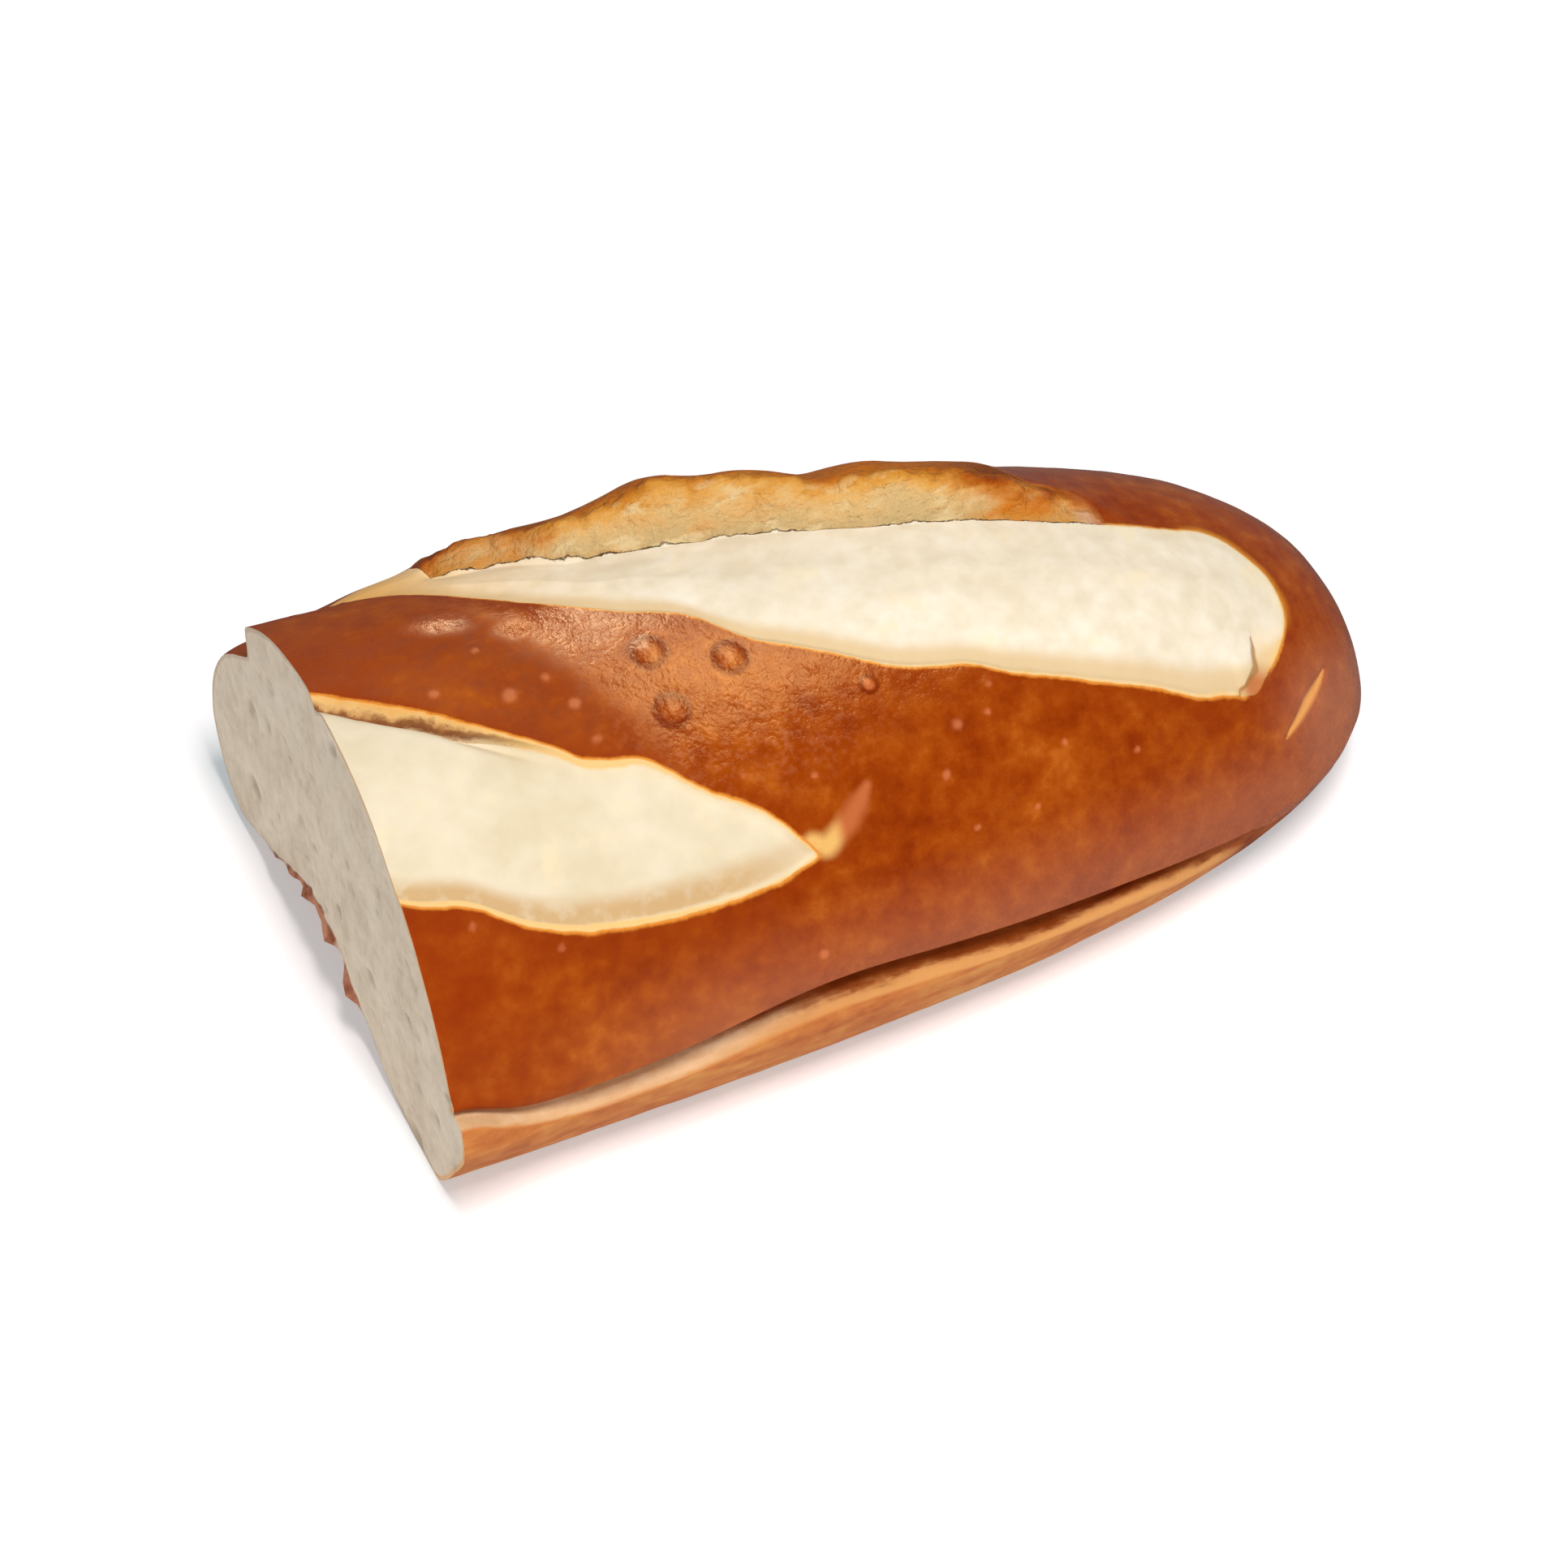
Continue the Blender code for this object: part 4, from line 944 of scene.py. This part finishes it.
def floor_colour(f, broad, mottle, grain, crumb):
    """Cream floors of the scores: shaded along the near edge, golden at the rim, baked towards the cut."""
    rim, lower, short_lower, along = f.mask("rim"), f.mask("lower"), f.mask("short_lower"), f.mask("along")
    gap, in_long = f.mask("split"), f.fade(short_lower, 50.0, 60.0)
    long_shade = f.product(f.fade(lower, 3.2, 1.4), f.fade(lower, 0.1, 0.4), 0.8)
    short_shade = f.product(f.fade(short_lower, 3.0, 1.2), f.fade(short_lower, 0.2, 0.6))
    short_mottle = f.product(f.fade(mottle, 0.30, 0.55, 0.45, 0.95), f.fade(along, 0.38, 0.28, 0.35, 1.0))
    gold = f.weighted((rim, 1.0), (grain, 0.3), (f.fade(along, 0.32, 0.16), -0.5), plus=-0.15)
    return f.layers(
        f.colours(f.weighted((broad, 0.5), (mottle, 0.5)), FLOOR_BAND),
        (f.fade(short_lower, 60.0, 50.0, 0.0, 0.6), f.colours(broad, SHORT_FLOOR_BAND)),
        (f.product(f.fade(along, 0.34, 0.10, 0.0, 0.75), in_long), FLOOR_LEFT),
        (f.fade(f.noise(0.006, 3.0), 0.54, 0.70, 0.0, 0.35), FLOOR_PATCH),
        (f.fade(rim, 2.2, 0.2, 0.0, 0.30), FLOOR_RIM),
        (long_shade, LONG_SHADE),
        (f.product(short_shade, short_mottle), SHORT_SHADE),
        (f.fade(gold, 0.48, 0.05, 0.0, 0.85), FLOOR_GOLD),
        (f.product(f.fade(along, 0.19, 0.03), in_long, 0.8), FLOOR_AT_CUT),
        (f.product(f.mask("flap"), 0.5), FLAP),
        (f.product(f.mask("corner"), 0.9), FLAP_CORNER),
        # painted shade along the fold
        (f.fade(f.mask("fold"), 2.8, 0.8, 0.0, 0.75), FOLD_PAINTED_SHADE),
        (f.product(f.fade(gap, 2.9, 2.6), f.mask("split_share")), torn_band_colour(f, gap, mottle, crumb)),
    )


def wall_colour(f, torn, patch, crumb):
    """Torn wall of the ear: cream foot to rust crest, baked in patches, pale streaks, painted shade in
    pits.
    """
    bake, streak = f.mask("bake"), f.noise(0.0022, 4.0, 0.6, place=f.stretched(0.35, 1.0, 0.8))
    level = f.fade(f.weighted((torn, 1.0), (patch, 1.0), (crumb, 0.3), plus=-0.66), -0.1, 1.5)
    baked = f.fade(f.weighted((bake, 1.0), (patch, 0.9), plus=-0.45), 0.40, 0.95)
    light = f.product(f.fade(streak, 0.53, 0.64, 0.0, 0.75), f.fade(torn, 1.1, 0.6), f.fade(bake, 0.9, 0.4))
    return f.layers(
        f.colours(level, WALL_BAND),
        (baked, f.colours(level, BAKED_WALL_BAND)),
        (light, WALL_STREAK),
        # painted shade in the pits of the wall's bump
        (f.fade(crumb, 0.38, 0.26, 0.0, 0.3), WALL_PIT_PAINTED_SHADE),
    )


def skin_finish():
    """Lye crust, pale score floors with a golden rim, and the torn wall of the ear."""
    f = Finish("baked_skin", specular=0.36, tint=(1.0, 0.68, 0.25, 1.0))
    broad, mottle, grain = f.noise(0.012), f.noise(0.0026, 4.0, 0.5), f.noise(0.0008, 3.0)
    crumb, pebbles = f.noise(0.0015, 5.0, 0.65), f.noise(0.0005, 2.0)
    patch = f.noise(0.0036, 4.0, 0.6, place=f.stretched(0.45, 1.0, 1.0))
    torn, on_wall, along = f.mask("torn"), f.mask("on_wall"), f.mask("along")
    crust = crust_colour(f, broad, mottle, grain, crumb)
    floor = floor_colour(f, broad, mottle, grain, crumb)
    wall = wall_colour(f, torn, patch, crumb)

    # Where the wall and the floors are, with the floor's colour kept under the wall's crumbled foot
    torn_edge = f.weighted((torn, 1.0), (crumb, 0.3), (f.fade(along, 0.32, 0.24), -0.12), plus=-0.15)
    wall_end = f.fade(f.maths("SUBTRACT", torn_edge, f.mask("wall_end")), 0.2, -0.2)
    in_wall = f.product(f.fade(torn_edge, -0.02, 0.04), wall_end, on_wall)
    below_wall = f.product(f.fade(torn, -0.10, -0.02), f.fade(torn, 0.60, 0.45), on_wall)
    in_floor = f.fade(f.weighted((f.mask("dough"), 1.0), (grain, 0.12), plus=-0.06), -0.06, 0.08)
    in_floor = f.maths("MAXIMUM", in_floor, f.product(below_wall, f.maths("SUBTRACT", 1.0, in_wall)))
    colour = f.blend(in_floor, f.blend(in_wall, crust, wall), floor)

    matt, glossy = f.fade(mottle, 0.3, 0.7, 0.70, 0.85), f.fade(grain, 0.34, 0.66, 0.22, 0.32)
    shine = f.blend_value(f.mask("gloss"), matt, glossy)
    rough = f.blend_value(in_floor, f.blend_value(in_wall, shine, 0.85), 0.72)
    skin_height = f.weighted((mottle, 0.12), (grain, 0.08), (pebbles, 0.04))
    wall_height = f.weighted((patch, 1.3), (crumb, 0.9), (grain, 0.15))
    floor_height = f.weighted((mottle, 0.10), (grain, 0.03))
    height = f.blend_value(in_floor, f.blend_value(in_wall, skin_height, wall_height), floor_height)
    return f.done(colour, rough, height)


def foot_finish():
    """Dark groove, pale unbrowned strip with a golden edge, orange-tan foot and browned base."""
    f = Finish("foot_crust", specular=0.25, tint=(1.0, 0.8, 0.5, 1.0))
    share, run_out, turn, along = f.mask("ledge"), f.mask("run_out"), f.mask("turn"), f.mask("along")
    broad, mottle, grain = f.noise(0.010), f.noise(0.0024, 5.0, 0.6), f.noise(0.0008, 3.0)
    streak = f.noise(0.0016, 4.0, 0.6, place=f.stretched(0.2, 1.0, 1.0))
    tone = f.weighted((broad, 0.3), (mottle, 0.3), (streak, 0.4))
    pale = f.blend(f.fade(along, 0.18, 0.42), f.colours(tone, CREAM_BAND), f.colours(tone, TAN_BAND))
    strip = f.blend(f.fade(along, 0.60, 0.78), pale, STRIP_END)
    level = f.weighted((share, 1.0), (streak, 0.35), (mottle, 0.15), plus=-0.25)
    strip_start = f.fade(along, 0.10, 0.45, 0.26, 0.76)
    gold = f.product(f.fade(level, 0.66, 0.82), f.fade(level, 1.12, 0.92))
    gold = f.product(gold, f.fade(along, 0.20, 0.45, 0.25, 0.85))
    colour = f.layers(
        f.colours(tone, GROOVE_BAND),
        (f.fade(f.maths("SUBTRACT", level, strip_start), -0.14, 0.16), strip),
        (f.fade(level, 0.82, 0.98), f.colours(tone, FOOT_BAND)),
        (gold, FOOT_GOLD),
        (f.fade(run_out, 0.5, 0.05), f.colours(tone, BROWN_BAND)),
        (f.fade(turn, 2.34, 2.52, 0.0, 0.5), FOOT_BASE),
        (f.fade(f.mask("crag"), 0.15, 0.6), FOOT_CRAG),
    )
    height = f.weighted((mottle, 0.14), (grain, 0.05), (streak, 0.12))
    return f.done(colour, f.fade(mottle, 0.3, 0.7, 0.50, 0.66), height)


def crumb_finish():
    """Matt cream-grey crumb, pores with painted shade, thin browned rim, dark torn bits of bottom crust."""
    f = Finish("crumb", specular=0.2)
    crag, turn = f.mask("crag"), f.mask("turn")
    broad, mottle, grain = f.noise(0.009), f.noise(0.0024, 3.0, 0.5), f.noise(0.0008, 2.0)
    near_rim = f.weighted((f.mask("rim"), 1.0), (mottle, 0.5), (grain, 0.2), plus=-0.35)
    right_side = f.product(f.fade(turn, 0.95, 1.15), f.fade(turn, 2.6, 2.45))
    rim_share = f.fade(near_rim, 0.80, 0.35, 0.0, f.fade(right_side, 0.0, 1.0, 0.3, 0.9))
    bits = f.product(f.fade(f.maths("SUBTRACT", near_rim, crag), 0.45, 0.05), f.fade(crag, 0.25, 0.7))
    colour = f.layers(
        f.colours(f.weighted((broad, 0.5), (mottle, 0.35), (grain, 0.15)), CRUMB_BAND),
        # painted shade, darker where the pores' dents are deeper
        (f.fade(f.mask("pore"), 0.05, 0.5, 0.0, 0.5), PORE_PAINTED_SHADE),
        (f.fade(near_rim, 1.8, 0.5, 0.0, 0.35), CRUMB_NEAR_RIM),
        (rim_share, f.blend(right_side, LEFT_RIM, RIGHT_RIM)),
        (bits, f.colours(mottle, TORN_BITS_BAND)),
    )
    return f.done(colour, 0.9, f.weighted((mottle, 0.20), (grain, 0.08)))


# ---------------------------------------------------------------- the roll
skin, skin_edge, skin_edge_turns = outer_sheet("crust", skin_turns, skin_finish())
foot_edge, foot_edge_turns = outer_sheet("foot", foot_turns, foot_finish())[1:]
cut_edge = np.concatenate([skin_edge, foot_edge[1:]])
cut_turns = np.concatenate([skin_edge_turns % 4.0, foot_edge_turns[1:]])
crumb_sheet(cut_edge, cut_turns, crumb_finish())
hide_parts("pretzel_roll")

# ---------------------------------------------------------------- floor, light and camera
# The paper is warm and its glow cool, so that it is white in full light and neutral in the loaf's shadow
PAPER, PAPER_GLOW, PAPER_GLOW_COLOUR = (0.88, 0.78, 0.76, 1.0), 0.372, (0.73, 0.955, 1.0, 1.0)
WORLD_LIGHT, WHITE = 0.18, (1.0, 1.0, 1.0, 1.0)
REACH, SUNK = 4.0, -0.00015
ground = bpy.data.meshes.new("floor")
corners = [(-REACH, -REACH, SUNK), (REACH, -REACH, SUNK), (REACH, REACH, SUNK), (-REACH, REACH, SUNK)]
ground.from_pydata(corners, [], [(0, 1, 2, 3)])
floor = bpy.data.objects.new("floor", ground)
bpy.context.scene.collection.objects.link(floor)
paper = bpy.data.materials.new("pale_paper")
paper.use_nodes = True
sockets = paper.node_tree.nodes["Principled BSDF"].inputs
sockets["Base Color"].default_value, sockets["Roughness"].default_value = PAPER, 1.0
sockets["Specular IOR Level"].default_value = 0.0
sockets["Emission Color"].default_value = PAPER_GLOW_COLOUR
sockets["Emission Strength"].default_value = PAPER_GLOW
ground.materials.append(paper)
floor.visible_glossy = False

world = bpy.data.worlds.new("studio")
world.use_nodes = True
world.node_tree.nodes["Background"].inputs["Color"].default_value = WHITE
world.node_tree.nodes["Background"].inputs["Strength"].default_value = WORLD_LIGHT
bpy.context.scene.world = world


def facing(side, across, behind, place):
    """Matrix of something at a place with its X, Y and Z axes along three directions."""
    turned = Matrix((side, across, behind)).transposed().to_4x4()
    turned.translation = Vector(place)
    return turned


def softbox(name, place, size_x, size_y, power):
    """A rectangular area light that faces the loaf, its long side kept level with the Y axis."""
    data = bpy.data.lights.new(name, "AREA")
    data.shape, data.size, data.size_y, data.energy = "RECTANGLE", size_x, size_y, power
    light = bpy.data.objects.new(name, data)
    behind = (Vector(place) - Vector((0.0, 0.0, 0.02))).normalized()
    side = Vector((0.0, 1.0, 0.0)).cross(behind).normalized()
    light.matrix_world = facing(side, behind.cross(side), behind, place)
    bpy.context.scene.collection.objects.link(light)
    return light


# Key and front light the loaf and cast its shadow, and the two windows only make its highlights
softbox("key", (-0.05, -0.47, 1.22), 0.2, 0.5, 13.2).visible_glossy = False
softbox("front", (-0.10, -1.15, 0.75), 1.4, 1.4, 4.0).visible_glossy = False
softbox("window", (0.34, 0.08, 0.94), 0.24, 0.70, 8.0).visible_diffuse = False
softbox("back_window", (0.17, 0.64, 0.75), 0.25, 0.30, 5.4).visible_diffuse = False

# The camera looks at the loaf's middle from the near left, above it
AZIMUTH, ELEVATION, DISTANCE = np.radians(-24.311), np.radians(44.679), 0.8113
PIXELS_PER_MM, PICTURE, CENTRE_X, CENTRE_Y = 10.713, 1932.0, 1032.51, 885.43
SENSOR, NEAREST, FARTHEST = 36.0, 0.01, 20.0
TARGET = np.array([0.06286, 0.0, 0.01873]) - ORIGIN
right = np.array([np.cos(AZIMUTH), np.sin(AZIMUTH), 0.0])
away = np.array([np.sin(AZIMUTH), -np.cos(AZIMUTH), 0.0])
back = away * np.cos(ELEVATION) + np.array([0.0, 0.0, np.sin(ELEVATION)])
lens = bpy.data.cameras.new("camera")
lens.sensor_width = SENSOR
lens.lens = SENSOR * PIXELS_PER_MM * DISTANCE / MM / PICTURE
lens.shift_x = -(CENTRE_X - PICTURE / 2) / PICTURE
lens.shift_y = (CENTRE_Y - PICTURE / 2) / PICTURE
lens.clip_start, lens.clip_end = NEAREST, FARTHEST
camera = bpy.data.objects.new("camera", lens)
camera.matrix_world = facing(right, np.cross(back, right), back, TARGET + back * DISTANCE)
bpy.context.scene.collection.objects.link(camera)
bpy.context.scene.camera = camera
bpy.context.scene.view_settings.view_transform = "Standard"
